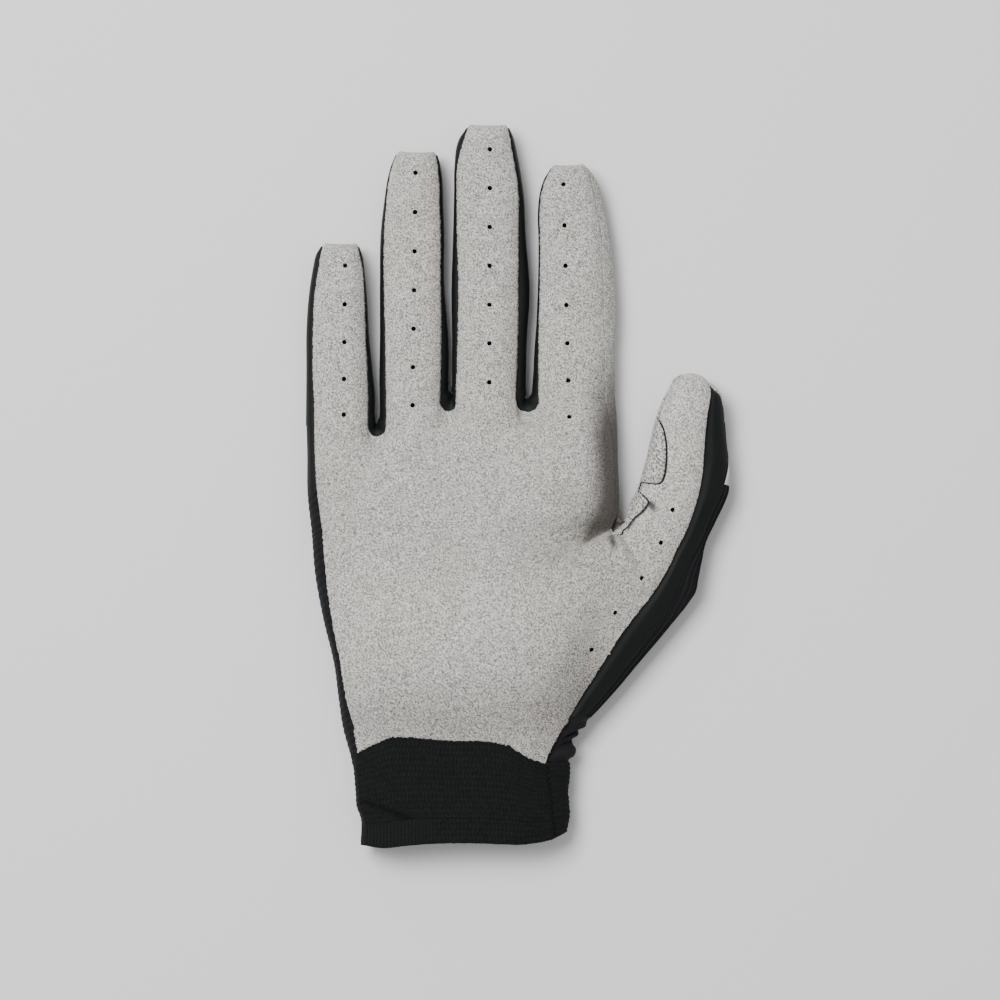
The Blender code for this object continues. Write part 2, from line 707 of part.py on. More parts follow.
def split_places(part):
    """Places across the thumb's side: the smooth band, the back cloth, both, or the back's two halves."""
    split = math.sqrt(1 - THUMB_BAND_SHARE)
    band = np.linspace(1, split, 3)
    back = np.array([split, *THUMB_BACK_PLACES])
    parts = {"band": band, "back": back, "both": np.concatenate([band, back[1:]])}
    parts["beside_patch"] = back[:2]
    parts["patch"] = back[1:]
    return parts[part]


def tip_first(stations):
    return stations[::-1]


def palm_panel(form):
    panel = Panel("palm_panel", SUEDE, 0.9).add(form.palm_block())
    for finger in FINGERS.values():
        panel.add(finger_grid(finger, tongue_rows(finger), FRONT_ACROSS))
    thumb = FINGERS["thumb"]
    rows = [(wrap_end(thumb), 1.0), (roll_start(thumb), 1.0)]
    rows += roll_rows(thumb, (math.pi / 6, math.pi / 3, math.pi / 2))
    wrap = tip_first(finger_side(thumb, 1, rows))
    panel.add(side_strip(wrap[:2], split_places("both")), flip=True)
    return panel.add(side_strip(wrap[1:], split_places("back")), flip=True)


def back_panel(form):
    panel = Panel("back_panel", RIBBED_BLACK, 0.75).add(form.back_block(), flip=True)
    for finger in FINGERS.values():
        panel.add(finger_grid(finger, back_rows(finger), BACK_ACROSS), flip=True)
    little = form.little_edge[-1][: form.band_end]
    panel.add(side_strip(tip_first(little), band_places()))
    thumb = FINGERS["thumb"]
    up_thumb = finger_side(thumb, 1, back_rows(thumb, 1.0))
    below, beside, above = up_thumb[: PATCH_ROW + 1], up_thumb[PATCH_ROW : PATCH_ROW + 2], up_thumb[PATCH_ROW + 1 :]
    for rows, part in ((below, "back"), (beside, "beside_patch"), (above, "back")):
        panel.add(side_strip(tip_first(rows), split_places(part)), flip=True)
    panel.add(side_strip(tip_first(form.thumb_edge[GATHERED_ROWS:]), split_places("back")), flip=True)
    return panel.add(side_strip(tip_first(form.thumb_edge[: GATHERED_ROWS + 1]), split_places("both")), flip=True)


def fourchettes(form):
    """The bands that run down one finger's side, round the crotch and up the next one's."""
    for crotch, arc in zip(CROTCHES, form.arcs):
        down = tip_first(form.sides[crotch.left, 1])
        path = np.concatenate([down, arc, form.sides[crotch.right, -1]])
        name = f"fourchette_{crotch.left}_{crotch.right}"
        yield Panel(name, SMOOTH_BLACK, 0.6).add(side_strip(path, band_places()), flip=True)


def little_side_band(form):
    edge = form.little_edge[1][form.band_end - 1 :]
    path = np.concatenate([tip_first(form.sides["little", -1])[:-1], tip_first(edge)])
    return Panel("little_side_band", SMOOTH_BLACK, 0.6).add(side_strip(path, band_places()))


def thumb_side_band(form):
    path = [tip_first(form.sides["thumb", 1])[1:-1], tip_first(form.thumb_edge[GATHERED_ROWS:])]
    path = np.concatenate(path)
    return Panel("thumb_side_band", SMOOTH_BLACK, 0.6).add(side_strip(path, split_places("band")), flip=True)


def index_side_panel(form):
    path = np.concatenate([tip_first(form.sides["index", 1]), tip_first(form.index_edge)])
    return Panel("index_side_panel", SUEDE_SHADE, 0.9).add(side_strip(path, band_places()), flip=True)


def web_patch(form):
    path = np.concatenate([form.index_edge[:1], form.web, form.sides["thumb", -1]])
    return Panel("web_patch", SUEDE_SHADE, 0.9, WEB_GAP).add(side_strip(path, band_places()), flip=True)


def thumb_back_patch(form):
    thumb = FINGERS["thumb"]
    path = tip_first(finger_side(thumb, 1, back_rows(thumb, 1.0)[PATCH_ROW : PATCH_ROW + 2]))
    return Panel("thumb_back_patch", PLAIN_GREY, 0.8).add(side_strip(path, split_places("patch")), flip=True)


def cuff_panels(form):
    hem_start = 1 - HEM_HEIGHT / CUFF_LENGTH
    levels = np.linspace(0, hem_start, 4)
    both = split_places("both")
    front = Panel("cuff_palm", KNIT_BLACK, 0.8).add(cuff_grid(form, levels, "front"), flip=True)
    back = Panel("cuff_back", KNIT_BLACK, 0.8).add(cuff_grid(form, levels, "back"))
    back.add(side_strip(cuff_grid(form, levels, "left"), band_places()))
    back.add(side_strip(cuff_grid(form, levels, "right"), both), flip=True)
    levels = (hem_start, 1)
    hem = Panel("cuff_hem", KNIT_BLACK, 0.8)
    hem.add(cuff_grid(form, levels, "front"), flip=True)
    hem.add(cuff_grid(form, levels, "back"))
    hem.add(side_strip(cuff_grid(form, levels, "left"), band_places()))
    hem.add(side_strip(cuff_grid(form, levels, "right"), both), flip=True)
    return front, back, hem


def clear_scene():
    for item in list(bpy.data.objects):
        bpy.data.objects.remove(item, do_unlink=True)


def new_collection(name):
    collection = bpy.data.collections.new(name)
    bpy.context.scene.collection.children.link(collection)
    return collection


def hole_places():
    """The holes' places in plan, with the height where each cutter starts."""
    for finger in FINGERS.values():
        root, forward, sideways = finger_axes(finger)
        for share in np.linspace(finger.holes.first, finger.holes.last, finger.holes.count):
            place = root + share * finger.length * forward + finger.holes.across * finger.width / 2 * sideways
            yield place, HOLE_FLOOR * finger.thickness
    for across, up in THENAR_HOLES:
        yield np.array([across * PALM_WIDTH, up * PALM_LENGTH]), HOLE_FLOOR * THUMB_THICKNESS


def pierce(panel, collection, centre):
    """Cuts the row of holes in each finger and at the thumb's base with one joined cutter."""
    cutters = bmesh.new()
    for place, floor in hole_places():
        depth = PALM_THICKNESS + TIP_ROLL - floor
        made = bmesh.ops.create_cone(cutters, cap_ends=True, segments=HOLE_SIDES, depth=depth,
                                     radius1=HOLE_DIAMETER / 2, radius2=HOLE_DIAMETER / 2)
        middle = (place[0] - centre[0], place[1] - centre[1], floor + depth / 2)
        bmesh.ops.translate(cutters, verts=made["verts"], vec=middle)
    mesh = bpy.data.meshes.new("hole_cutters")
    cutters.to_mesh(mesh)
    cutters.free()
    cutter = bpy.data.objects.new("hole_cutters", mesh)
    cutter.hide_render = True
    cutter.display_type = "WIRE"
    collection.objects.link(cutter)
    holes = panel.modifiers.new("Holes", "BOOLEAN")
    holes.operation = "DIFFERENCE"
    holes.solver = "EXACT"
    holes.object = cutter


def main():
    clear_scene()
    glove = new_collection("motocross_glove")
    cutters = new_collection("cutters")
    form = HandForm()
    panels = [palm_panel(form), back_panel(form), *fourchettes(form), little_side_band(form)]
    panels += [thumb_side_band(form), index_side_panel(form), web_patch(form), thumb_back_patch(form)]
    panels += cuff_panels(form)
    plan = np.concatenate([grid.reshape(-1, 3) for panel in panels for grid in panel.grids])
    centre = (plan.min(axis=0) + plan.max(axis=0)) / 2
    centre[2] = 0
    objects = {panel.name: panel.build(glove, centre) for panel in panels}
    pierce(objects["palm_panel"], cutters, centre)


main()
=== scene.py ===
"""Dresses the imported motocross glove: suede palm, ribbed back, smooth bands, knit cuff and the stage.

The glove is a right-hand one that lies on its back, palm up and fingers along +Y. Every cloth piece is
cut from one hand form, which numpy works out on fine grids from the sizes below. A piece's grid is its
outer face, and its wall goes inwards.
"""

from collections import namedtuple
from contextlib import contextmanager
import math

import bmesh
import bpy
import numpy as np
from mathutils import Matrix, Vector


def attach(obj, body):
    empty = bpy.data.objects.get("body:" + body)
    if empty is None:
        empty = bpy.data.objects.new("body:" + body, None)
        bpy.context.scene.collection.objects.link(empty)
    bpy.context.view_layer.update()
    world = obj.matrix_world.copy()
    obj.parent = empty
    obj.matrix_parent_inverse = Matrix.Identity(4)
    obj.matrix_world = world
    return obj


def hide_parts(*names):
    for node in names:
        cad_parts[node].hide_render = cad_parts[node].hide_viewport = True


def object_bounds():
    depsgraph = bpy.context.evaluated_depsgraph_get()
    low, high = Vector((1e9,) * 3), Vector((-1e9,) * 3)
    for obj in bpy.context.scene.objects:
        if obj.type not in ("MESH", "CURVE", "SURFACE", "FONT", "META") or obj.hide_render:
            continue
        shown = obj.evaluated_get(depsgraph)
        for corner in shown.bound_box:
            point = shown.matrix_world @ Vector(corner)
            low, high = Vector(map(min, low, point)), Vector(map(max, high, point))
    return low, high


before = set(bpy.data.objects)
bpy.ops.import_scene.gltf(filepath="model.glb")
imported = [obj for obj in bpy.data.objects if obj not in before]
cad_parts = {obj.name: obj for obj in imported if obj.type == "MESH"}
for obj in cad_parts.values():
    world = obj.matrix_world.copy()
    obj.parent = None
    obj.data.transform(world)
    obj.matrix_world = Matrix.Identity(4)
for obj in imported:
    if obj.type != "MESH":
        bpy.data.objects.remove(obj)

bl_info = {
    "name": "Motocross glove dresser",
    "version": (1, 0, 0),
    "blender": (4, 5, 0),
    "location": "3D View > Sidebar > Glove",
    "description": "Builds the cloth, suede and stitches of a motocross glove round its packed frame",
    "category": "Object",
}

CAD_LOW, CAD_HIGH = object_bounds()

Finger = namedtuple(
    "Finger", "name across up lean slant left_rise right_rise left_lift right_lift holes sections"
)
Section = namedtuple("Section", "along outer_left seam_left seam_right outer_right")
Edge = namedtuple("Edge", "up seam outer lift", defaults=(0.0,))
Crotch = namedtuple("Crotch", "left right depth outer_depth")
Mound = namedtuple("Mound", "across up width height lift")
Holes = namedtuple("Holes", "count first last across bend")
Crease = namedtuple("Crease", "start_across start_up end_across end_up bow width depth")
Notch = namedtuple("Notch", "up width depth slope")


def rows_of(kind, *rows):
    """A table whose rows are of this kind."""
    return tuple(kind(*row) for row in rows)


# Heights of the seams, as shares of the half thickness.
SEAM_RISE = 0.55
THUMB_BAND_RISE = 0.72
BACK_RISE = 0.60

# The form's curves: shares and powers.
FLAT_SHARE = 0.55
CROWN_POWER = 3.2
CROTCH_DIP = 0.25
EDGE_FADE = 2.4
LIFT_REACH = 0.4
ROLL_POWER = 0.8
TIP_POWER = 0.33

# Lengths of the grids' stretches and depths of what runs on beneath a neighbour, in metres.
CROTCH_RUN = 0.0070
WEB_RUN = 0.0110
ROLL_RUN = 0.0080
TIP_CLOSING = 0.0060
ALLOWANCE_SINK = 0.0009
MERGE_DISTANCE = 0.000002
LONG_EDGE = 0.0004
WEB_SINK = 0.0010

# Each row is a station: its share of the length, then edges and seams as shares of half the width.
LITTLE_SECTIONS = rows_of(
    Section,
    (0.00, -1.03, -0.77, 0.85, 1.03), (0.12, -1.03, -0.78, 0.86, 1.03), (0.30, -1.03, -0.83, 0.82, 0.95),
    (0.50, -1.04, -0.83, 0.76, 0.84), (0.70, -0.98, -0.80, 0.72, 0.77), (0.85, -0.87, -0.69, 0.66, 0.69),
    (0.94, -0.77, -0.62, 0.56, 0.62), (1.00, -0.65, -0.56, 0.50, 0.54),
)
RING_SECTIONS = rows_of(
    Section,
    (0.00, -1.02, -0.82, 0.79, 1.01), (0.10, -1.04, -0.84, 0.81, 1.03), (0.30, -1.04, -0.88, 0.82, 1.00),
    (0.50, -1.06, -0.94, 0.78, 0.87), (0.70, -1.05, -0.94, 0.76, 0.85), (0.80, -0.97, -0.89, 0.72, 0.81),
    (0.90, -0.86, -0.81, 0.69, 0.77), (1.00, -0.64, -0.60, 0.58, 0.64),
)
MIDDLE_SECTIONS = rows_of(
    Section,
    (0.00, -0.95, -0.85, 0.77, 1.03), (0.20, -0.95, -0.81, 0.82, 1.05), (0.40, -0.97, -0.79, 0.83, 1.12),
    (0.60, -0.93, -0.83, 0.83, 1.01), (0.75, -0.91, -0.84, 0.82, 0.95), (0.85, -0.90, -0.83, 0.72, 0.84),
    (0.93, -0.83, -0.68, 0.61, 0.72), (1.00, -0.60, -0.54, 0.52, 0.58),
)
INDEX_SECTIONS = rows_of(
    Section,
    (0.00, -1.16, -0.99, 0.76, 1.01), (0.08, -1.11, -0.98, 0.76, 1.02), (0.20, -1.06, -0.96, 0.77, 1.03),
    (0.35, -0.98, -0.93, 0.77, 1.10), (0.50, -0.92, -0.88, 0.77, 1.08), (0.70, -0.88, -0.85, 0.74, 0.98),
    (0.80, -0.88, -0.84, 0.66, 0.88), (0.90, -0.79, -0.75, 0.56, 0.74), (1.00, -0.53, -0.49, 0.40, 0.46),
)
THUMB_SECTIONS = rows_of(
    Section,
    (-0.13, -0.80, -0.77, 0.54, 1.59), (-0.05, -0.77, -0.74, 0.69, 1.73),
    (0.02, -0.75, -0.72, 0.79, 1.70), (0.12, -0.72, -0.69, 0.88, 1.66), (0.19, -0.70, -0.62, 0.96, 1.63),
    (0.30, -0.64, -0.56, 1.04, 1.72), (0.42, -0.60, -0.52, 1.06, 1.84), (0.48, -0.60, -0.52, 1.04, 1.87),
    (0.54, -0.60, -0.52, 1.00, 1.79), (0.63, -0.63, -0.55, 0.90, 1.64), (0.73, -0.64, -0.58, 0.79, 1.42),
    (0.82, -0.59, -0.55, 0.71, 1.24), (0.91, -0.50, -0.46, 0.66, 1.05), (0.96, -0.41, -0.37, 0.60, 0.90),
    (1.00, -0.27, -0.23, 0.48, 0.70),
)

# Thickness along a finger: share of the length, share of the finger's thickness.
SWELLING = ((0.0, 1.14), (0.35, 1.02), (0.7, 0.97), (1.0, 0.86))

FINGERS = {
    finger.name: finger
    for finger in (
        Finger("little", -0.362, 0.970, 0.5, 0.0, SEAM_RISE, SEAM_RISE, "", "crotch_lift",
               Holes(5, 0.055, 0.873, 0.13, 0.012), LITTLE_SECTIONS),
        Finger("ring", -0.123, 1.000, 0.7, 0.045, SEAM_RISE, SEAM_RISE, "crotch_lift", "deep_crotch_lift",
               Holes(7, 0.035, 0.915, -0.02, 0.005), RING_SECTIONS),
        Finger("middle", 0.117, 1.045, 0.2, 0.0, SEAM_RISE, SEAM_RISE, "deep_crotch_lift", "crotch_lift",
               Holes(7, 0.062, 0.905, 0.05, 0.0), MIDDLE_SECTIONS),
        Finger("index", 0.406, 1.039, -1.4, 0.0, SEAM_RISE, SEAM_RISE, "crotch_lift", "crotch_lift",
               Holes(7, -0.063, 0.913, -0.20, 0.020), INDEX_SECTIONS),
        Finger("thumb", 0.610, 0.549, 15.4, -0.125, SEAM_RISE, THUMB_BAND_RISE, "web_lift", "",
               Holes(0, 0.0, 0.0, 0.0, 0.0), THUMB_SECTIONS),
    )
}

# The hand's free edges: height as a share of the palm's length, the rest as shares of its width.
LITTLE_EDGE = rows_of(
    Edge,
    (-0.01, -0.305, -0.331), (0.06, -0.315, -0.352), (0.15, -0.341, -0.367), (0.25, -0.359, -0.381),
    (0.39, -0.388, -0.417), (0.52, -0.407, -0.443), (0.66, -0.420, -0.456), (0.75, -0.433, -0.467),
    (0.88, -0.443, -0.469), (0.97, -0.445, -0.472),
)
THUMB_EDGE = rows_of(
    Edge,
    (-0.042, 0.305, 0.388), (-0.010, 0.318, 0.406), (0.042, 0.348, 0.417), (0.062, 0.361, 0.436),
    (0.080, 0.373, 0.444), (0.12, 0.398, 0.482), (0.18, 0.438, 0.540), (0.25, 0.487, 0.603),
    (0.34, 0.549, 0.686), (0.41, 0.606, 0.750),
)
INDEX_EDGE = rows_of(
    Edge,
    (0.66, 0.518, 0.547, 0.053), (0.74, 0.530, 0.546, 0.035), (0.84, 0.530, 0.542, 0.024),
    (0.94, 0.524, 0.540, 0.022),
)
GATHERS_TOP = 0.095
LITTLE_SPLIT = 0.785

# The crotches between neighbouring fingers: how deep the seam's and the outline's arcs are, in metres.
CROTCHES = (
    Crotch("little", "ring", 0.0033, 0.0016),
    Crotch("ring", "middle", 0.0031, 0.0014),
    Crotch("middle", "index", 0.0034, 0.0016),
)
WEB = Crotch("index", "thumb", 0.0014, 0.0026)

# The fold below a crotch, in metres: its depth, its lips' height, the width of both and the lips' distance.
FOLD_DEPTH = 0.0011
LIP_HEIGHT = 0.0006
FOLD_WIDTH = 0.0012
LIP_DISTANCE = 0.0026

# Where the palm's suede is cut on the thumb, beside the web: shares of the length and of half the width.
WEB_CUT = (
    (0.100, -0.99), (0.134, -0.69), (0.155, -0.59), (0.192, -0.52), (0.227, -0.44), (0.252, -0.34),
    (0.302, -0.215), (0.3185, -0.205), (0.331, -0.25), (0.342, -0.36), (0.360, -0.54), (0.385, -0.61),
    (0.402, -0.57), (0.408, -0.40), (0.413, -0.20), (0.421, -0.075), (0.435, -0.005), (0.456, 0.020),
    (0.504, 0.005), (0.574, -0.075), (0.642, -0.205), (0.702, -0.385), (0.749, -0.604), (0.820, -0.560),
    (1.000, -0.270),
)

# Mounds and hollows of the palm: centre and reach as shares of the palm, lift in metres.
MOUNDS = rows_of(
    Mound,
    (0.42, 0.42, 0.17, 0.20, 0.0030), (-0.27, 0.30, 0.14, 0.24, 0.0012),
    (0.02, 0.50, 0.16, 0.20, -0.0022), (0.40, 0.60, 0.07, 0.04, -0.0010),
)

# Painted shade in wide soft patches over the palm, and painted light where the darkness is negative: centre
# and reach as shares of the palm, then how dark.
SHADES = rows_of(
    Mound,
    (0.05, 0.09, 0.60, 0.11, 0.27), (0.36, 0.600, 0.15, 0.08, 0.24), (0.38, 0.715, 0.07, 0.07, 0.13),
    (0.44, 0.680, 0.05, 0.05, 0.20), (0.36, 0.140, 0.12, 0.17, 0.16), (-0.08, 0.42, 0.27, 0.14, -0.12),
    (0.44, 0.20, 0.08, 0.18, 0.30), (-0.43, 0.45, 0.03, 0.60, 0.10), (0.16, 0.56, 0.10, 0.10, 0.06),
)

# Painted shade laid evenly over the palm and the fingers; the thumb's outer half has none, so that it looks
# more brightly lit.
BASE_SHADE = 0.15

# Layers of noise over the suede and over the web's patch: cell and height in metres, and the seed.
WAVES = ((0.013, 0.00034, 3), (0.0055, 0.00013, 4), (0.0021, 0.00004, 5))
WEB_WAVES = ((0.0011, 0.00009, 21), (0.0021, 0.00009, 22))

# Layers along the cut edge: cell in metres, height as a share of its roughness, and the seed.
CUT_WAVES = ((0.0009, 0.8, 11), (0.0004, 0.8, 12))
HAIR_CELL = 0.00035
HAIR_FADE = 0.003

# Creases pressed into the suede: two ends and a bow as shares of the palm, width and depth in metres.
CREASES = rows_of(
    Crease,
    (0.351, 1.716, 0.435, 1.710, 0.004, 0.0024, 0.0005),
    (0.571, 0.612, 0.610, 0.537, 0.010, 0.0016, 0.0003),
    (0.338, 0.698, 0.454, 0.731, 0.020, 0.0022, 0.00045),
    (0.005, 1.328, 0.215, 1.328, 0.008, 0.0018, 0.00045),
    (0.286, 1.299, 0.519, 1.299, -0.008, 0.0020, 0.00045),
    (0.286, 1.209, 0.519, 1.212, 0.008, 0.0022, 0.00045),
    (-0.120, 1.442, -0.040, 1.445, 0.004, 0.0014, 0.0003),
    (-0.234, 0.901, 0.058, 0.901, 0.012, 0.0026, 0.0003),
    (0.302, 1.060, 0.367, 1.069, 0.000, 0.0016, 0.0002),
)

# Two tight pleats beside the web, the fold behind it, and the ledge at the thumb's fold.
PLEATS = rows_of(
    Crease,
    (0.517, 0.640, 0.536, 0.588, 0.000, 0.0011, 0.0014),
    (0.640, 0.738, 0.672, 0.705, 0.000, 0.0011, 0.0012),
)
WEB_FOLD = Crease(0.5225, 0.6490, 0.5680, 0.6880, 0.0, 0.0004, 0.0018)
LEDGE = Crease(0.530, 0.660, 0.405, 0.598, -0.005, 0.0012, 0.0026)
LEDGE_FADE = 0.012

# The painted shadow above the ledge, in metres: over how much it blends, and how wide it is at both ends.
LEDGE_BLEND = 0.0008
LEDGE_SHADE = (0.0034, 0.0012)

# A slanting crease across the cuff, at the little finger's side.
CUFF_CREASE = Crease(-0.295, -0.152, -0.105, -0.215, 0.0, 0.0008, 0.0007)

# The palm insert's arched edge: share of the seam's width, share of the arch's height.
ARCH = (
    (0.00, -0.20), (0.09, 0.43), (0.18, 0.92), (0.27, 0.95), (0.46, 0.71),
    (0.75, 0.50), (0.80, 0.34), (0.86, -0.14), (0.91, -0.57), (1.00, -1.00),
)

# The cuff, from the wrist seam down: share of its length, then shares of half its width.
CUFF_SECTIONS = rows_of(
    Section,
    (0.00, -0.919, -0.847, 0.847, 1.070), (0.20, -0.885, -0.850, 0.862, 1.068),
    (0.42, -0.869, -0.835, 0.880, 1.053), (0.60, -0.856, -0.815, 0.895, 1.063),
    (0.70, -0.825, -0.785, 0.905, 1.068), (1.00, -0.820, -0.775, 0.920, 1.040),
)

# How much of the thumb's side the smooth band takes in plan, at heights in shares of the palm's length.
BAND_SHARES = (
    (0.05, 0.72), (0.236, 0.76), (0.39, 0.71), (0.47, 0.52), (0.55, 0.57), (0.615, 0.79), (0.70, 0.77),
    (0.76, 0.80), (0.803, 0.83), (0.85, 0.97), (0.95, 0.97), (1.02, 0.96), (1.045, 0.90), (1.07, 0.84),
    (1.10, 0.78),
)

# The bottom edge of the cuff: share of its width, rise in shares of the hem's lift.
HEM_EDGE = (
    (0.00, 0.00), (0.09, -0.42), (0.21, 0.06), (0.36, 0.54), (0.54, 0.68),
    (0.72, 0.46), (0.83, 0.34), (0.94, 0.82), (1.00, 1.30),
)

# The gathers at the thumb's side of the wrist: where each notch lies, in shares of the palm's length.
NOTCHES = (
    Notch(0.053, 0.0008, 0.0018, 0.9),
    Notch(0.021, 0.0013, 0.0024, 0.5),
    Notch(-0.037, 0.0012, 0.0009, 0.1),
    Notch(0.085, 0.0010, 0.0004, 1.2),
)
NOTCH_SLANT = 0.004
CRINKLE_CELL = 0.0018
CRINKLE_DEPTH = 0.00025

# The smooth band on the thumb's side: how far its last three columns lie past its edge, in places.
PAST_BAND = (0.04, 0.09, 0.14)

# How deep its last five columns lie, and how deep its lower and upper ends sink, in metres.
BAND_SINK = (0.0002, 0.0005, 0.0007, 0.0012, 0.0017)
BAND_ENDS = (0.0015, 0.0011)

# Over how much the suede's end rounds off above the band, in metres.
WRAP_ROUND = 0.003

# How far the web's first columns move in under the palm below the thumb, in metres.
WEB_TUCK = (-0.00096, -0.00128, -0.0009)

# The pitch of the ridges on the thumb's side, in places, and the cells of their strength, in metres.
RIDGE_PITCH = 0.145
RIDGE_CELL = 0.009

# How far the ribs on the little finger's side slant from seam to seam, in metres.
SIDE_RIB_SLANT = 0.0045

# The holes at the thumb's base, as shares of the palm.
THENAR_HOLES = ((0.717, 0.716), (0.679, 0.618), (0.617, 0.513), (0.532, 0.409), (0.455, 0.299))

# The plain patch on the thumb's back: shares of the thumb's length, and its edge at each end.
PATCH_SPAN = (0.52, 0.70)
PATCH_EDGE = (0.44, -0.18)
PATCH_LIFT = 0.0001
PATCH_TRIM = 0.00015

# The knit's uneven cells, the hem's ribs across and its rows up, in metres.
KNIT_CELL = 0.0011
HEM_RIB = 0.00115
HEM_ROW = 0.0012

# How far the cuff's first rows draw in and rise inside the glove, in metres.
TUCK_DRAW = 0.0013
TUCK_RISE = 0.0030

# Stitches, in metres: how they arch, and how the web's row shifts near its seam's end.
STITCH_ARCH = 0.00012
ROW_REACH = 0.0045
ROW_SHIFT = (0.0, 0.0006, 0.0009)

# The stage: the floor's half width and level, then each light's name, place, width and setting.
FLOOR_HALF = 4.0
FLOOR_LEVEL = -0.0004
LIGHTS = (
    ("key_light", (-0.50, 0.45, 1.30), 0.7, "key_power"),
    ("fill_light", (0.25, -0.15, 1.7), 1.8, "fill_power"),
)


def length(name, description, metres):
    return bpy.props.FloatProperty(
        name=name, description=description, default=metres, min=0.0, unit="LENGTH", precision=5
    )


def share(name, description, value, top=1.0):
    return bpy.props.FloatProperty(name=name, description=description, default=value, min=0.0, max=top)


def tint(name, description, value):
    return bpy.props.FloatVectorProperty(
        name=name, description=description, default=value, size=3, min=0.0, max=1.0, subtype="COLOR"
    )


class GloveSizes(bpy.types.PropertyGroup):
    """Sizes of the hand form, outside the cloth."""

    palm_width: length("Palm width", "Across the palm, without the side bands", 0.0986)
    palm_length: length("Palm length", "From the wrist seam to the little finger's root", 0.1072)
    palm_thickness: length("Palm thickness", "Through the middle of the palm", 0.0235)
    edge_thickness: length("Edge thickness", "Through the hand's outer edge", 0.0185)
    wrist_thickness: length("Wrist thickness", "Through the wrist seam", 0.0180)
    little_length: length("Little finger length", "From root to tip", 0.0583)
    ring_length: length("Ring finger length", "From root to tip", 0.0845)
    middle_length: length("Middle finger length", "From root to tip", 0.0883)
    index_length: length("Index finger length", "From root to tip", 0.0762)
    thumb_length: length("Thumb length", "From root to tip", 0.0637)
    little_width: length("Little finger width", "Across the root", 0.0214)
    ring_width: length("Ring finger width", "Across the root", 0.0214)
    middle_width: length("Middle finger width", "Across the root", 0.0240)
    index_width: length("Index finger width", "Across the root", 0.0246)
    thumb_width: length("Thumb width", "Across the root, without the side band", 0.0230)
    finger_thickness: length("Finger thickness", "Through a finger's middle", 0.0145)
    thumb_thickness: length("Thumb thickness", "Through the thumb's middle", 0.0175)
    tip_roll: length("Tip roll", "Length over which a fingertip turns over", 0.0050)
    tip_wrap: length("Tip wrap", "How far the suede reaches back over a tip", 0.0120)
    cuff_width: length("Cuff width", "Across the cuff", 0.0710)
    cuff_length: length("Cuff length", "From the wrist seam to the hem", 0.0306)
    hem_height: length("Hem height", "Height of the hem", 0.0075)
    wrist_arch: length("Wrist arch", "Height of the insert's arched top", 0.0045)
    hem_lift: length("Hem lift", "How much higher the hem sits at the thumb's side", 0.0016)
    crotch_lift: length("Crotch lift", "How far a crotch's outline sits above its seam", 0.0026)
    deep_crotch_lift: length("Deep crotch lift", "The same beside the ring and middle fingers", 0.0040)
    web_lift: length("Web lift", "The same at the thumb's web", 0.0085)
    shoulder_reach: length("Shoulder reach", "Width of the palm's turn below the index finger", 0.0115)
    shoulder_lift: length("Shoulder lift", "Height of that turn", 0.0046)
    edge_sink: length("Edge sink", "How much lower the palm's edge lies there", 0.0034)


class ClothSizes(bpy.types.PropertyGroup):
    """Sizes of the cloth, its seams and its surface."""

    cell: length("Cell", "Length of one face of a grid, along the fingers", 0.00078)
    columns: bpy.props.IntProperty(
        name="Columns", description="Faces across each finger", default=19, min=8, max=60
    )
    fine_cell: length("Fine cell", "Side of one face of the knit's grid", 0.00034)
    suede_wall: length("Suede wall", "Thickness of the suede", 0.0007)
    cloth_wall: length("Cloth wall", "Thickness of the cloth", 0.0008)
    seam_step: length("Seam step", "How far a band lies below the suede's cut edge", 0.00075)
    seam_run: length("Seam run", "How far a cloth runs in under its neighbour", 0.0021)
    seam_drop: length("Seam drop", "How much deeper it lies there", 0.0001)
    edge_noise: length("Cut edge roughness", "How far the suede's cut edge wanders", 0.00022)
    least_bulge: length("Least bulge", "Least width of a side strip, seen from above", 0.0003)
    hole_diameter: length("Hole diameter", "Diameter of the perforations", 0.0015)
    tip_corner: length("Tip corner", "How far the corners of a fingertip stand up", 0.0007)
    rib_pitch: length("Rib pitch", "Distance between the back cloth's ribs", 0.0026)
    rib_depth: length("Rib depth", "Depth of the back cloth's grooves", 0.00016)
    side_rib_pitch: length("Side rib pitch", "Distance between the ribs below the little finger", 0.0030)
    side_rib_depth: length("Side rib depth", "Depth of the grooves between them", 0.00032)
    ridge_depth: length("Ridge depth", "Depth between the ridges on the thumb's side", 0.00050)
    patch_depth: length("Patch depth", "How deep the thumb's patch is pressed in", 0.0009)
    knit_pitch: length("Knit pitch", "Height of one row of the cuff's knit", 0.0017)
    knit_depth: length("Knit depth", "Depth of the cuff's knit", 0.00030)
    stitch_length: length("Stitch length", "Length of one stitch", 0.0013)
    thread: length("Thread", "Diameter of the thread", 0.00042)
    nap: length("Nap", "Width of one stroke of the suede's nap", 0.00036)


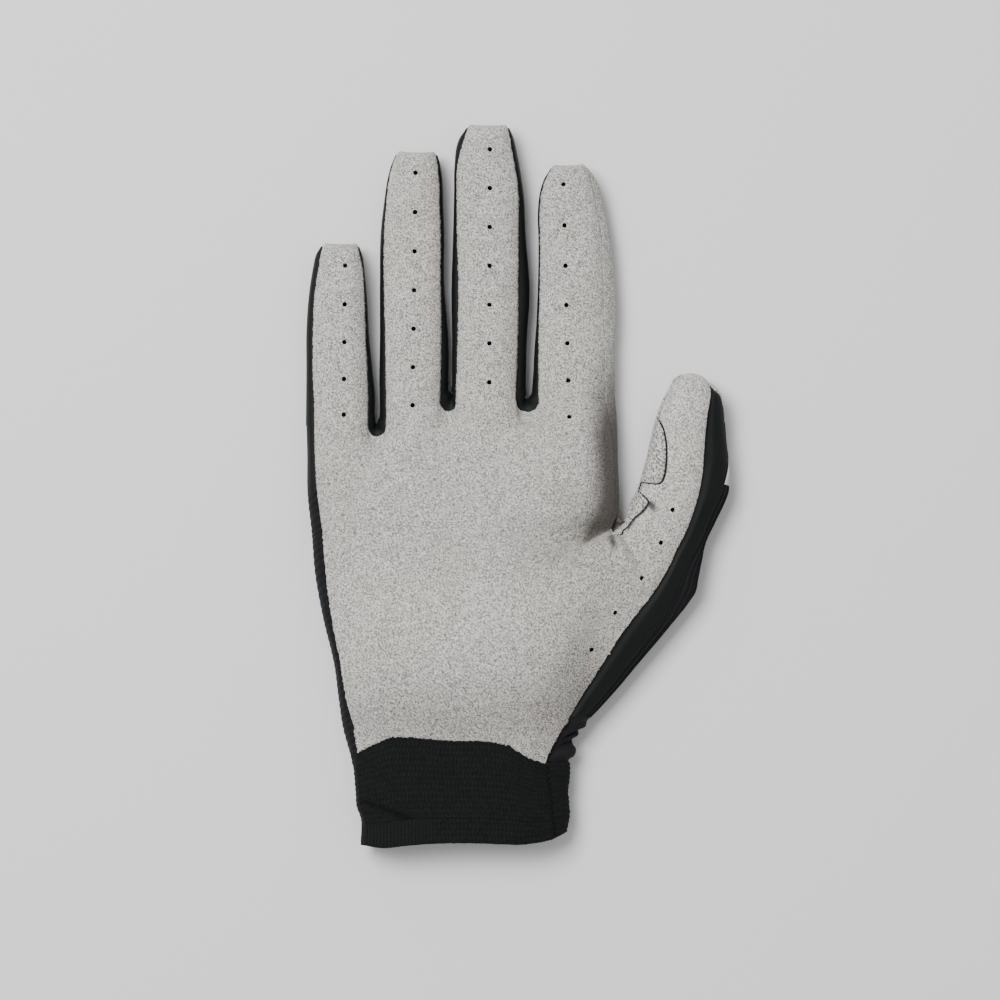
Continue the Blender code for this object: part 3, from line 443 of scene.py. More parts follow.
class GloveColours(bpy.types.PropertyGroup):
    """Colours of the cloth, the suede and the thread."""

    suede: tint("Suede", "The suede where its nap is light", (0.84, 0.83, 0.79))
    suede_shade: tint("Suede shade", "The suede where its nap is dark", (0.190, 0.180, 0.165))
    warm_suede: tint("Warm suede", "The suede's warm patches where its nap is light", (0.820, 0.785, 0.730))
    warm_shade: tint("Warm shade", "The warm patches where its nap is dark", (0.195, 0.175, 0.155))
    # Painted shade: the next two tints are the suede's colour in shade, blended in where it turns from the
    # light and in its folds.
    deep_suede: tint("Deep suede", "The suede turned away, where its nap is light", (0.110, 0.098, 0.086))
    nap_in_painted_shade: tint("Deep shade", "The suede turned away, where its nap is dark", (0.032, 0.027, 0.022))
    smooth: tint("Smooth cloth", "The bands between and beside the fingers", (0.0033, 0.0044, 0.0044))
    ribbed: tint("Ribbed cloth", "The back of the hand", (0.0045, 0.0045, 0.0058))
    knit: tint("Knit", "The cuff", (0.0036, 0.0040, 0.0040))
    patch: tint("Patch", "The plain patch on the thumb's back", (0.52, 0.50, 0.48))
    web_thread: tint("Web thread", "The thread beside the web", (0.012, 0.009, 0.022))
    suede_thread: tint("Suede thread", "The thread at the index finger's tip", (0.20, 0.19, 0.18))
    cuff_thread: tint("Cuff thread", "The thread down the cuff", (0.001, 0.001, 0.001))
    floor: tint("Floor", "The floor", (0.86, 0.86, 0.86))


class StageSettings(bpy.types.PropertyGroup):
    """The camera, the lights and the floor."""

    view_width: length("View width", "Width of the picture at the glove's height", 0.320)
    view_across: bpy.props.FloatProperty(
        name="View across", description="The picture's middle, across", default=-0.0057, unit="LENGTH"
    )
    view_up: bpy.props.FloatProperty(
        name="View up", description="The picture's middle, up", default=-0.0043, unit="LENGTH"
    )
    camera_height: length("Camera height", "Height of the camera over the floor", 1.6)
    key_power: bpy.props.FloatProperty(
        name="Key light", description="Power of the light from the upper left", default=26.0, unit="POWER"
    )
    fill_power: bpy.props.FloatProperty(
        name="Fill light", description="Power of the soft light overhead", default=5.0, unit="POWER"
    )
    surround: share("Surround", "Brightness of the pale surround", 0.40, 5.0)


def smooth_read(table, at, name=None):
    """A smooth curve through a table's rows, which lie along its first column: cubic pieces whose slopes
    come from the neighbouring rows. Without a name it reads the second column."""
    places = np.array([row[0] for row in table], float)
    values = np.array([getattr(row, name) if name else row[1] for row in table], float)
    slopes = np.gradient(values, places)
    at = np.clip(at, places[0], places[-1])
    low = np.clip(np.searchsorted(places, at) - 1, 0, len(places) - 2)
    span = places[low + 1] - places[low]
    t = (at - places[low]) / span
    start = (1 + 2 * t) * (1 - t) ** 2 * values[low] + t * (1 - t) ** 2 * span * slopes[low]
    end = t * t * (3 - 2 * t) * values[low + 1] + t * t * (t - 1) * span * slopes[low + 1]
    return start + end


def easing(value):
    """Eases from 0 to 1 and stays there: three times the square less twice the cube."""
    value = np.clip(value, 0, 1)
    return value * value * (3 - 2 * value)


def bell(distance, width):
    """A bell curve: e to the power of minus the squared share of the width."""
    return np.exp(-((distance / width) ** 2))


def plan_noise(across, up, size, seed):
    """Smooth noise from -1 to 1: random corners of square cells of this size, blended with easing."""
    lattice = np.random.default_rng(seed).uniform(-1, 1, (256, 256))
    x, y = np.asarray(across) / size, np.asarray(up) / size
    left, low = np.floor(x).astype(int), np.floor(y).astype(int)
    s, t = easing(x - left), easing(y - low)
    left, low, right, high = left % 256, low % 256, (left + 1) % 256, (low + 1) % 256
    bottom = lattice[left, low] * (1 - s) + lattice[right, low] * s
    top = lattice[left, high] * (1 - s) + lattice[right, high] * s
    return bottom * (1 - t) + top * t


def waves(x, y, layers):
    """The sum of layers of smooth noise, each at its own height."""
    return sum(height * plan_noise(x, y, size, seed) for size, height, seed in layers)


def unit(vectors):
    """The vectors at a length of one."""
    return vectors / (np.linalg.norm(vectors, axis=-1, keepdims=True) + 1e-12)


def run_along(path):
    """Length along a path at each of its points."""
    return np.append(0, np.cumsum(np.linalg.norm(np.diff(path, axis=0), axis=1)))


def shares_along(curve):
    """How far along a curve each of its points lies in plan, from 0 to 1."""
    run = run_along(curve[:, :2])
    return run / run[-1]


def raised(grid, lift, flip):
    """Moves each point along its normal, which is the cross product of the grid's two directions."""
    normal = unit(np.cross(np.gradient(grid, axis=1), np.gradient(grid, axis=0)))
    return grid + normal * np.broadcast_to(-lift if flip else lift, grid.shape[:2])[..., None]


def crowned(across, left_rise, right_rise):
    """The front's height over a section, as a share of the half thickness: low at the seams, and higher
    towards the middle as one less a power of the place."""
    rise = left_rise + (right_rise - left_rise) * (across + 1) / 2
    return rise + (1 - rise) * (1 - np.abs(across) ** CROWN_POWER)


def flattened(across):
    """The back's depth over a section: a flat middle that turns up to the seams as one less a square."""
    turn = np.clip((np.abs(across) - FLAT_SHARE) / (1 - FLAT_SHARE), 0, 1)
    return BACK_RISE + (1 - BACK_RISE) * (1 - turn * turn)


def filled(bottom, top, left, right):
    """The surface spanned by four boundary curves: a patch between the corners, to which each curve adds
    its own departure from a straight line, fading as a power of the distance across."""
    u = shares_along(top)
    rise = left[:, 1]
    v = (rise - rise[0]) / (rise[-1] - rise[0])
    u = u[None, :, None]
    v = v[:, None, None]
    corners = (1 - u) * (1 - v) * bottom[0] + u * (1 - v) * bottom[-1]
    corners = corners + (1 - u) * v * top[0] + u * v * top[-1]
    grid = corners + (1 - u) ** EDGE_FADE * (left[:, None] - corners[:, :1])
    grid += u**EDGE_FADE * (right[:, None] - corners[:, -1:])
    grid += (1 - v) ** EDGE_FADE * (bottom[None] - corners[:1])
    grid += v**EDGE_FADE * (top[None] - corners[-1:])
    return grid, u[..., 0], v[..., 0]


def relaxed(grid, rounds=300, edge=5, reach=18):
    """Each inner point moves again and again to the mean of its neighbours, less so near the edges."""
    rows, columns = np.indices(grid.shape[:2])
    inside = np.minimum(np.minimum(rows, rows.max() - rows), np.minimum(columns, columns.max() - columns))
    ease = easing((inside[1:-1, 1:-1] - edge) / reach)[..., None]
    for _ in range(rounds):
        mean = (grid[:-2, 1:-1] + grid[2:, 1:-1] + grid[1:-1, :-2] + grid[1:-1, 2:]) / 4
        grid[1:-1, 1:-1] += ease * (mean - grid[1:-1, 1:-1])
    return grid


def arc_stations(start, end, crotch, rows):
    """Stations round a crotch, from one finger's root to the next one's: half an ellipse in plan, with
    the strip narrowing in height at its middle."""
    turn = np.linspace(0, math.pi, rows + 1)[1:-1, None]

    def arc(first, last, depth):
        half = (last - first) / 2
        down = np.array([half[1], -half[0]]) / np.linalg.norm(half)
        return (first + last) / 2 - half * np.cos(turn) + depth * np.sin(turn) * down

    along = (1 - np.cos(turn)) / 2
    heights = start[4:] + (end[4:] - start[4:]) * along
    middle = heights.mean(axis=1, keepdims=True)
    heights = middle + (heights - middle) * (1 - CROTCH_DIP * np.sin(turn))
    seam = arc(start[:2], end[:2], crotch.depth)
    outer = arc(start[2:4], end[2:4], crotch.outer_depth)
    return np.concatenate([seam, outer, heights], axis=1)


def side_strip(stations, places, run=0.0, drop=0.0, power=2.0):
    """A bulging strip along stations: in plan it leaves the seam for the outline as one less a power
    of the place, which is 1 at the front seam, 0 at the outline and -1 at the back seam. Past a seam it
    runs inwards and drops away from the face, less so where the strip closes at a tip."""
    places = np.atleast_2d(places)[..., None]
    run = np.atleast_2d(run)[..., None]
    drop = np.atleast_2d(drop)[..., None]
    seam = stations[:, None, 0:2]
    outer = stations[:, None, 2:4]
    front = stations[:, None, 4:5]
    back = stations[:, None, 5:6]
    away = outer - seam
    open_share = easing((front - back) / TIP_CLOSING)
    inwards = -away / (np.linalg.norm(away, axis=2, keepdims=True) + 1e-9) * open_share
    bulge = 1 - np.where(places > 0, np.abs(places) ** power, places**2)
    plan = seam + away * bulge + inwards * run
    height = (front + back) / 2 + (front - back) / 2 * places - np.sign(places) * drop * open_share
    return np.concatenate([plan, height + 0 * plan[..., :1]], axis=2)


class HandForm:
    """The glove's outer face as stations along its seams, which neighbouring pieces share. A station is
    the seam's x and y, the outline's x and y, and the heights of the front and the back seam."""

    def __init__(self, sizes, cloth):
        self.sizes = sizes
        self.cloth = cloth
        self.across = {name: self.spread(finger) for name, finger in FINGERS.items()}
        self.sides = {
            (name, side): self.finger_side(finger, side, self.side_rows(finger))
            for name, finger in FINGERS.items()
            for side in (-1, 1)
        }
        arc_rows = round(CROTCH_RUN / cloth.cell)
        self.arcs = [
            arc_stations(self.sides[c.left, 1][0], self.sides[c.right, -1][0], c, arc_rows) for c in CROTCHES
        ]
        self.lay_edges()
        self.centre = self.plan_centre()

    def spread(self, finger):
        """Places across a finger, closer together near its seams and on the index finger's outer half:
        equal steps of the sum of a density."""
        across = np.linspace(-1, 1, 401)
        density = 1 + np.abs(across) ** 8
        if finger.name == "index":
            density += 2 * easing(across)
        total = np.append(0, np.cumsum(density[1:] + density[:-1]))
        return np.interp(np.linspace(0, total[-1], self.columns(finger) + 1), total, across)

    def columns(self, finger):
        """How many faces lie across a finger: more on the index finger and the thumb."""
        return self.cloth.columns * (3 if finger.name in ("index", "thumb") else 2) // 2

    def length(self, finger):
        return getattr(self.sizes, f"{finger.name}_length")

    def half_width(self, finger):
        return getattr(self.sizes, f"{finger.name}_width") / 2

    def thickness(self, finger):
        return self.sizes.thumb_thickness if finger.name == "thumb" else self.sizes.finger_thickness

    def axes(self, finger):
        """The root's point in plan, and the directions along and across the finger."""
        lean = math.radians(finger.lean)
        root = np.array([finger.across * self.sizes.palm_width, finger.up * self.sizes.palm_length])
        return root, np.array([math.sin(lean), math.cos(lean)]), np.array([math.cos(lean), -math.sin(lean)])

    def section(self, finger, along):
        """Outlines, seams and half thickness at a share of the length."""
        half = self.half_width(finger)
        outer_left, seam_left, seam_right, outer_right = (
            smooth_read(finger.sections, along, name) * half for name in Section._fields[1:]
        )
        seam_left = np.maximum(seam_left, outer_left + self.cloth.least_bulge)
        seam_right = np.minimum(seam_right, outer_right - self.cloth.least_bulge)
        thickness = self.thickness(finger) * smooth_read(SWELLING, along)
        return outer_left, seam_left, seam_right, outer_right, thickness / 2

    @staticmethod
    def slanted(finger, row, across):
        """A row's share of the length at a place across: seams that slant fade with a third power."""
        return row + finger.slant * across * (1 - np.clip(row, 0, 1)) ** 3

    def web_cut_across(self, finger, rows):
        """Where the thumb's suede starts across the section, from -1 at the left seam, at each row. A
        row is slanted, so each round reads the cut again at the height of the last place found."""
        cut = np.full(len(rows), -1.0)
        for _ in range(12):
            along = self.slanted(finger, rows, cut)
            _, left, right, _, _ = self.section(finger, along)
            offset = smooth_read(WEB_CUT, along) * self.half_width(finger)
            cut = (cut + np.clip(2 * (offset - left) / (right - left) - 1, -1, 1)) / 2
        return cut

    def finger_face(self, finger, rows, across):
        """Points of a finger's front and back. A row is (share of length, side), where side is 1 on the
        front, -1 on the back and in between over the tip. Plan: root plus length and offset along the
        finger's axes. Height: middle plus the side's share of the crowned or flattened section."""
        row, side = np.array(rows, float).T
        across = np.atleast_2d(across)
        along = self.slanted(finger, row[:, None], across)
        _, left, right, _, half = self.section(finger, along)
        offset = left + (right - left) * (across + 1) / 2
        root, forward, sideways = self.axes(finger)
        start = self.roll_start(finger)
        reach = along * self.length(finger)
        reach = reach + easing((row - start) / (1 - start))[:, None] * self.tip_shape(finger, across)
        plan = root + reach[..., None] * forward + offset[..., None] * sideways
        front = half * crowned(across, finger.left_rise, finger.right_rise)
        back = np.minimum(half * flattened(across), self.thickness(finger) / 2)
        side = side[:, None]
        height = self.thickness(finger) / 2 + np.where(side >= 0, side * front, side * back)
        return np.concatenate([plan, height[..., None]], axis=2)

    def tip_shape(self, finger, across):
        """How far the tip reaches past its mean at each place across: dipping in the middle, higher towards
        the corners, which are cut off round. The thumb's tip is simply round."""
        across = np.abs(across)
        if finger.name == "thumb":
            return self.cloth.tip_corner * (0.5 - 2.2 * across**3)
        return self.cloth.tip_corner * (across**3 - 0.45 - 2.0 * across**14)

    def roll_start(self, finger):
        """Where the tip starts to turn over, as a share of the length."""
        return 1 - self.sizes.tip_roll / self.length(finger)

    def wrap_end(self, finger):
        """Where the suede's wrap ends on the back, as a share of the length."""
        return 1 - self.sizes.tip_wrap / self.length(finger)

    def spaced(self, first, last, finger):
        """Shares of the finger's length about a cell apart, closer on the thumb with its winding cut."""
        cell = self.cloth.cell * (0.55 if finger.name == "thumb" else 1.0)
        count = max(2, round((last - first) * self.length(finger) / cell))
        return np.linspace(first, last, count + 1)

    def front_rows(self, finger):
        """Even rows up the front to where the tip turns over."""
        return [(row, 1.0) for row in self.spaced(0, self.roll_start(finger), finger)]

    def roll_rows(self, finger, turns):
        """Rows over the tip, whose profile is a squarish half ring: powers of the sine and cosine."""
        start = self.roll_start(finger)
        reach = np.sin(turns) ** ROLL_POWER
        side = np.copysign(np.abs(np.cos(turns)) ** ROLL_POWER, np.cos(turns))
        return list(zip(start + (1 - start) * reach, side))

    def roll_turns(self):
        """Turns over the tip, an even number of steps so that the middle one is the very tip."""
        steps = 2 * round(ROLL_RUN / self.cloth.cell)
        return np.linspace(0, math.pi, steps + 1)[1:]

    def wrap_rows(self, finger):
        """Even rows on the back, from the tip's turn down to the wrap's end."""
        rows = self.spaced(self.wrap_end(finger), self.roll_start(finger), finger)
        return [(row, -1.0) for row in rows[::-1]]

    def tongue_rows(self, finger):
        """Up the front, over the tip and down the wrap."""
        over = self.roll_rows(finger, self.roll_turns())
        return self.front_rows(finger) + over + self.wrap_rows(finger)[1:]

    def cloth_rows(self, finger):
        """Shares of a finger's length for its cloth, and how deep each one lies: the last three run on
        beneath the suede's wrap and sink with the square of the step."""
        rows = self.spaced(0, self.wrap_end(finger), finger)
        steps = np.linspace(0, 1, 4)[1:]
        more = rows[-1] + steps * self.cloth.seam_run / self.length(finger)
        return np.append(rows, more), np.append(0 * rows, ALLOWANCE_SINK * steps**2)

    def side_rows(self, finger):
        """Up the front and over the tip as far as its middle."""
        turns = self.roll_turns()
        return self.front_rows(finger) + self.roll_rows(finger, turns[: len(turns) // 2])

    def finger_side(self, finger, side, rows):
        """Stations of one side of a finger. Past the front the strip narrows with the tip's turn, and
        near the root the outline is lifted, which makes the crotch lean."""
        row, turn = np.array(rows, float).T
        along = self.slanted(finger, row, side)
        outer_left, seam_left, seam_right, outer_right, half = self.section(finger, along)
        seam, outer, rise = seam_right, outer_right, finger.right_rise
        if side < 0:
            seam, outer, rise = seam_left, outer_left, finger.left_rise
        root, forward, sideways = self.axes(finger)
        middle = self.thickness(finger) / 2
        start = self.roll_start(finger)
        reach = along * self.length(finger)
        reach = reach + easing((row - start) / (1 - start)) * self.tip_shape(finger, 1.0)
        seam_plan = root + np.outer(reach, forward) + np.outer(seam, sideways)
        lift = finger.right_lift if side > 0 else finger.left_lift
        lift = (getattr(self.sizes, lift) if lift else 0.0) * (1 - easing(row / LIFT_REACH))
        outer_plan = root + np.outer(reach + lift, forward) + np.outer(outer, sideways)
        outer_plan = seam_plan + (outer_plan - seam_plan) * (np.abs(turn) ** TIP_POWER)[:, None]
        heights = np.stack([middle + turn * half * rise, middle - turn * half * BACK_RISE], axis=1)
        return np.concatenate([seam_plan, outer_plan, heights], axis=1)

    def edge_stations(self, table, ups, side, front_rise, middle, half):
        """Stations along a free edge of the hand, at shares of the palm's length."""
        seam = smooth_read(table, ups, "seam") * self.sizes.palm_width
        outer = smooth_read(table, ups, "outer") * self.sizes.palm_width
        seam = side * np.minimum(side * seam, side * outer - self.cloth.least_bulge)
        height = ups * self.sizes.palm_length
        heights = (middle + half * front_rise, middle - half * BACK_RISE)
        lifted = height + smooth_read(table, ups, "lift") * self.sizes.palm_length
        return np.stack([seam, height, outer, lifted, *heights], axis=1)

    def edge_ups(self, table, root, fineness):
        """Even heights from a table's start up to a finger's root, how far up each one lies, and the root."""
        first, last = table[0].up, root[1] / self.sizes.palm_length
        count = round((last - first) * self.sizes.palm_length * fineness / self.cloth.cell)
        ups = np.linspace(first, last, count + 1)[:-1]
        return ups, (ups - first) / (last - first), last

    def with_root(self, table, station):
        """The table of an edge with one row more, for the finger's root that the edge leads to."""
        seam, up, outer, lifted = station[:4]
        width, height = self.sizes.palm_width, self.sizes.palm_length
        return (*table, Edge(up / height, seam / width, outer / width, (lifted - up) / height))

    def lay_edges(self):
        """The stations of the hand's free edges, which lead to the finger roots' own heights."""
        sizes = self.sizes
        index_root = self.sides["index", 1][0]
        thumb_right = self.sides["thumb", 1][0]
        thumb_left = self.sides["thumb", -1][0]
        wrist_half = sizes.wrist_thickness / 2
        edge_half = sizes.edge_thickness / 2

        ups, toward, last = self.edge_ups(THUMB_EDGE, thumb_right, 1.2)
        toward = easing(toward)
        thumb_middle = (thumb_right[4] / THUMB_BAND_RISE + thumb_right[5] / BACK_RISE) / (
            1 / THUMB_BAND_RISE + 1 / BACK_RISE
        )
        thumb_half = (thumb_right[4] - thumb_middle) / THUMB_BAND_RISE
        middle = wrist_half + (thumb_middle - wrist_half) * toward
        half = wrist_half + (thumb_half - wrist_half) * toward
        rise = SEAM_RISE + (THUMB_BAND_RISE - SEAM_RISE) * toward
        table = self.with_root(THUMB_EDGE, thumb_right)
        edge = self.edge_stations(table, ups, 1, rise, middle, half)
        self.thumb_edge = np.concatenate([edge, thumb_right[None]])
        self.thumb_ups = np.append(ups, last)
        self.gathered = int(np.searchsorted(ups, GATHERS_TOP))

        ups, toward, _ = self.edge_ups(INDEX_EDGE, index_root, 1.0)
        middle = edge_half + 0 * ups
        table = self.with_root(INDEX_EDGE, index_root)
        self.index_edge = self.edge_stations(table, ups, 1, SEAM_RISE, middle, middle)
        self.index_edge[:, 4:] += (index_root[4:] - self.index_edge[:, 4:]) * toward[:, None]
        sink = 0.5 * easing((1 - toward) / 0.3) + 0.5 * easing((0.45 - toward) / 0.45)
        self.index_edge[:, 4] -= sizes.edge_sink * sink
        self.web = arc_stations(self.index_edge[0], thumb_left, WEB, round(WEB_RUN / self.cloth.cell))
        self.little_edge = self.lay_little_edge()

    def lay_little_edge(self):
        """The little finger's side of the hand, with a station for each one on the thumb's side."""
        stops = (
            (-0.01, 0.42, len(self.thumb_edge) - 1),
            (0.42, 0.60, self.columns(FINGERS["thumb"])),
            (0.60, 0.66, len(self.web) + 1),
            (0.66, 0.97, len(self.index_edge)),
        )
        ups = np.concatenate([np.linspace(low, high, rows + 1)[:-1] for low, high, rows in stops])
        root = self.sides["little", -1][0]
        wrist_half = self.sizes.wrist_thickness / 2
        middle = wrist_half + (self.sizes.edge_thickness / 2 - wrist_half) * easing(ups / stops[-1][1])
        edge = self.edge_stations(LITTLE_EDGE, ups, -1, SEAM_RISE, middle, middle)
        edge[:, 4:] += (root[4:] - edge[:, 4:]) * easing((ups - 0.8) / 0.17)[:, None]
        self.little_ups = np.append(ups, stops[-1][1])
        self.band_start = int(np.searchsorted(ups, LITTLE_SPLIT))
        return np.concatenate([edge, root[None]])

    def plan_centre(self):
        """How far the form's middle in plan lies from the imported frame's."""
        middle = FINGERS["middle"]
        root, forward, _ = self.axes(middle)
        high = (root + forward * self.length(middle))[1]
        outer = np.concatenate([self.sides["thumb", 1], self.sides["little", -1], self.little_edge])[:, 2]
        low = -self.sizes.cuff_length
        form = np.array([(outer.min() + outer.max()) / 2, (low + high) / 2])
        packed = np.array([CAD_LOW[0] + CAD_HIGH[0], CAD_LOW[1] + CAD_HIGH[1]]) / 2
        return np.append(form - packed, 0)

    def boundary(self, side):
        """Bottom, top, left and right curves of the hand block, on the front (1) or the back (-1)."""
        level = 4 if side > 0 else 5

        def seam(stations):
            return stations[:, [0, 1, level]]

        def root_row(name):
            return self.finger_face(FINGERS[name], [(0.0, float(side))], self.across[name])[0]

        top = [root_row("little")]
        for crotch, arc in zip(CROTCHES, self.arcs):
            top += [seam(arc), root_row(crotch.right)]
        top = np.concatenate(top)
        right = [seam(self.thumb_edge)[:-1], root_row("thumb")[::-1], seam(self.web)[::-1]]
        right = np.concatenate(right + [seam(self.index_edge), top[-1:]])
        left = seam(self.little_edge)
        return self.wrist_curve(shares_along(top), side), top, left, right

    def wrist_curve(self, along, side):
        """The wrist seam at shares of its width: arched on the palm, a flattened half ring in height."""
        level = 4 if side > 0 else 5
        start, end = self.little_edge[0][[0, 1, level]], self.thumb_edge[0][[0, 1, level]]
        half = self.sizes.wrist_thickness / 2
        curve = start + (end - start) * along[:, None]
        if side > 0:
            height = self.sizes.wrist_arch * smooth_read(ARCH, along)
            curve[:, 1] += height - height[0] - (height[-1] - height[0]) * along
            curve[:, 2] = half + half * crowned(2 * along - 1, SEAM_RISE, SEAM_RISE)
        else:
            curve[:, 2] = half - half * flattened(2 * along - 1)
        return curve

    def palm_block(self):
        """The palm from the wrist to the finger roots: a filled patch with a crown and its mounds."""
        grid, u, v = filled(*self.boundary(1))
        grid = relaxed(grid)
        crown = (1 - np.abs(2 * u - 1) ** 2.6) * (1 - np.abs(2 * v - 1) ** 3)
        grid[..., 2] += (self.sizes.palm_thickness - self.sizes.edge_thickness) * crown
        grid[..., 2] += self.index_shoulder(grid)
        hold = easing(6 * np.minimum(np.minimum(u, 1 - u), np.minimum(v, 1 - v)))
        across, up = self.plan_shares(grid)
        for mound in MOUNDS:
            reach = ((across - mound.across) / mound.width) ** 2 + ((up - mound.up) / mound.height) ** 2
            grid[..., 2] += mound.lift * np.exp(-reach) * hold
        grid[..., 2] += self.palm_relief(grid)
        return grid

    def index_shoulder(self, grid):
        """Fills the palm out beside the index finger's side, so that it turns down steeply at the edge:
        one less a power of the distance, fading slowly into the palm."""
        sizes = self.sizes
        rows = len(self.index_edge) + len(self.web)
        up = np.clip(1 - np.arange(len(grid))[::-1] / rows, 0, 1)[:, None]
        along = easing(up / 0.3) * easing((1 - up) / 0.2)
        away = grid[:, -1:, 0] - grid[..., 0]
        turn = 1 - np.clip(1 - away / sizes.shoulder_reach, 0, 1) ** 2.6
        fade = 1 - easing((away - sizes.shoulder_reach) / (0.4 * sizes.palm_width))
        return sizes.shoulder_lift * along * turn * fade

    def back_block(self):
        """The back of the hand: a filled patch pressed flat on the floor away from its seams."""
        grid, u, v = filled(*self.boundary(-1))
        inside = easing(5 * u) * easing(5 * (1 - u)) * easing(5 * (1 - v))
        bottom = grid[0, :, 2].copy()
        lift = grid[..., 2] * (1 - inside)
        grid[..., 2] = np.maximum(lift, bottom * (1 - easing(6 * v)) * (1 - inside))
        grid[0, :, 2] = bottom
        return grid

    def plan_shares(self, grid):
        return grid[..., 0] / self.sizes.palm_width, grid[..., 1] / self.sizes.palm_length

    def crease_distance(self, grid, crease):
        """Share along a bowed line, and signed distance from it."""
        scale = np.array([self.sizes.palm_width, self.sizes.palm_length])
        start = np.array([crease.start_across, crease.start_up]) * scale
        end = np.array([crease.end_across, crease.end_up]) * scale
        chord = end - start
        span = np.linalg.norm(chord)
        forward = chord / span
        offset = grid[..., :2] - start
        along = offset @ forward / span
        aside = offset @ np.array([-forward[1], forward[0]])
        bow = crease.bow * self.sizes.palm_width * (1 - (2 * np.clip(along, 0, 1) - 1) ** 2)
        return along, aside - bow

    def palm_relief(self, grid):
        """The suede's own relief: grooves along creases, a ledge at the thumb's fold, and soft waves."""
        relief = np.zeros(grid.shape[:2])
        for crease in CREASES + PLEATS:
            along, aside = self.crease_distance(grid, crease)
            taper = easing(6 * (along + 0.08)) * easing(6 * (1.08 - along))
            relief -= crease.depth * taper * bell(aside, crease.width)
        along, aside = self.crease_distance(grid, LEDGE)
        taper = easing(4 * (along + 0.1)) * easing(2.2 * (1.15 - along))
        step = 1 / (1 + np.exp(-np.clip(aside / (0.35 * LEDGE.width), -40, 40)))
        relief += LEDGE.depth * taper * step * bell(np.maximum(aside, 0), LEDGE_FADE)
        relief -= 0.4 * LEDGE.depth * taper * bell(aside + LEDGE.width, 2 * LEDGE.width)
        return relief + waves(grid[..., 0], grid[..., 1], WAVES)

    def pleat_shade(self, grid):
        """Painted shade in the suede's two tight pleats beside the web."""
        shade = np.zeros(grid.shape[:2])
        for crease in PLEATS:
            along, aside = self.crease_distance(grid, crease)
            shade += easing(8 * (along + 0.05)) * easing(1.3 * (1.05 - along)) * bell(aside, crease.width)
        return shade

    def palm_shade(self, grid):
        """How much painted shade the suede gets, from 0 to 1: on the turn below the index finger's outer
        side, which faces away from the light, as a painted shadow above the thumb's fold close to the ledge,
        in the pleats, and in the wide painted shades over an even base."""
        across, up = self.plan_shares(grid)
        edge = smooth_read(INDEX_EDGE, up, "seam")
        away = (edge - across) * self.sizes.palm_width
        along, aside = self.crease_distance(grid, LEDGE)
        above = 1 - easing((aside + LEDGE_BLEND / 2) / LEDGE_BLEND)
        # Painted shade on the palm's turn below the index finger, where it faces away from the light.
        turn = easing(1 - away / self.sizes.shoulder_reach) * easing((1.22 - up) / 0.30)
        start, end = LEDGE_SHADE
        # Painted shadow above the thumb's fold, close to the ledge.
        close = bell(np.minimum(aside, 0), start + (end - start) * np.clip(along, 0, 1))
        close = close * easing(1.6 * (1 - along)) * easing(6 * (along + 0.1))
        shade = BASE_SHADE + np.clip(turn + close, 0, 1) * above + self.pleat_shade(grid)
        for mound in SHADES:
            reach = ((across - mound.across) / mound.width) ** 2 + ((up - mound.up) / mound.height) ** 2
            shade = shade + mound.lift * np.exp(-reach)
        return np.clip(shade, 0, 1)

    def cuff_grid(self, levels, part, count=2):
        """The cuff's palm face, back face or a side, at shares of its length."""
        levels = np.asarray(levels, float)
        half = self.sizes.cuff_width / 2
        left, right = self.little_edge[0], self.thumb_edge[0]
        left_end = -self.sizes.cuff_length
        rise = HEM_EDGE[-1][1] * self.sizes.hem_lift
        right_end = left_end + rise

        def level(name, start):
            shares = smooth_read(CUFF_SECTIONS, np.append(0.0, levels), name)
            return start + (shares[1:] - shares[0]) * half

        def stations(seam, outer, start, end, outer_end):
            height = start[1] + (end - start[1]) * levels
            outer_height = start[3] + (outer_end - start[3]) * levels
            heights = np.tile(start[4:], (len(levels), 1))
            plan = np.stack([seam, height, outer, outer_height], axis=1)
            return np.concatenate([plan, heights], axis=1)

        seam_left, seam_right = level("seam_left", left[0]), level("seam_right", right[0])
        if part == "left":
            outer = np.minimum(level("outer_left", left[2]), seam_left - self.cloth.least_bulge)
            return stations(seam_left, outer, left, left_end, left_end)
        if part == "right":
            outer = np.maximum(level("outer_right", right[2]), seam_right + self.cloth.least_bulge)
            return stations(seam_right, outer, right, right_end, right_end + rise)
        along = np.linspace(0, 1, count)
        start = self.wrist_curve(along, 1 if part == "front" else -1)
        grid = np.empty((len(levels), count, 3))
        grid[..., 0] = seam_left[:, None] + (seam_right - seam_left)[:, None] * along
        end = left_end + self.sizes.hem_lift * smooth_read(HEM_EDGE, along)
        grid[..., 1] = start[:, 1] + (end - start[:, 1]) * levels[:, None]
        grid[..., 2] = start[:, 2]
        return grid


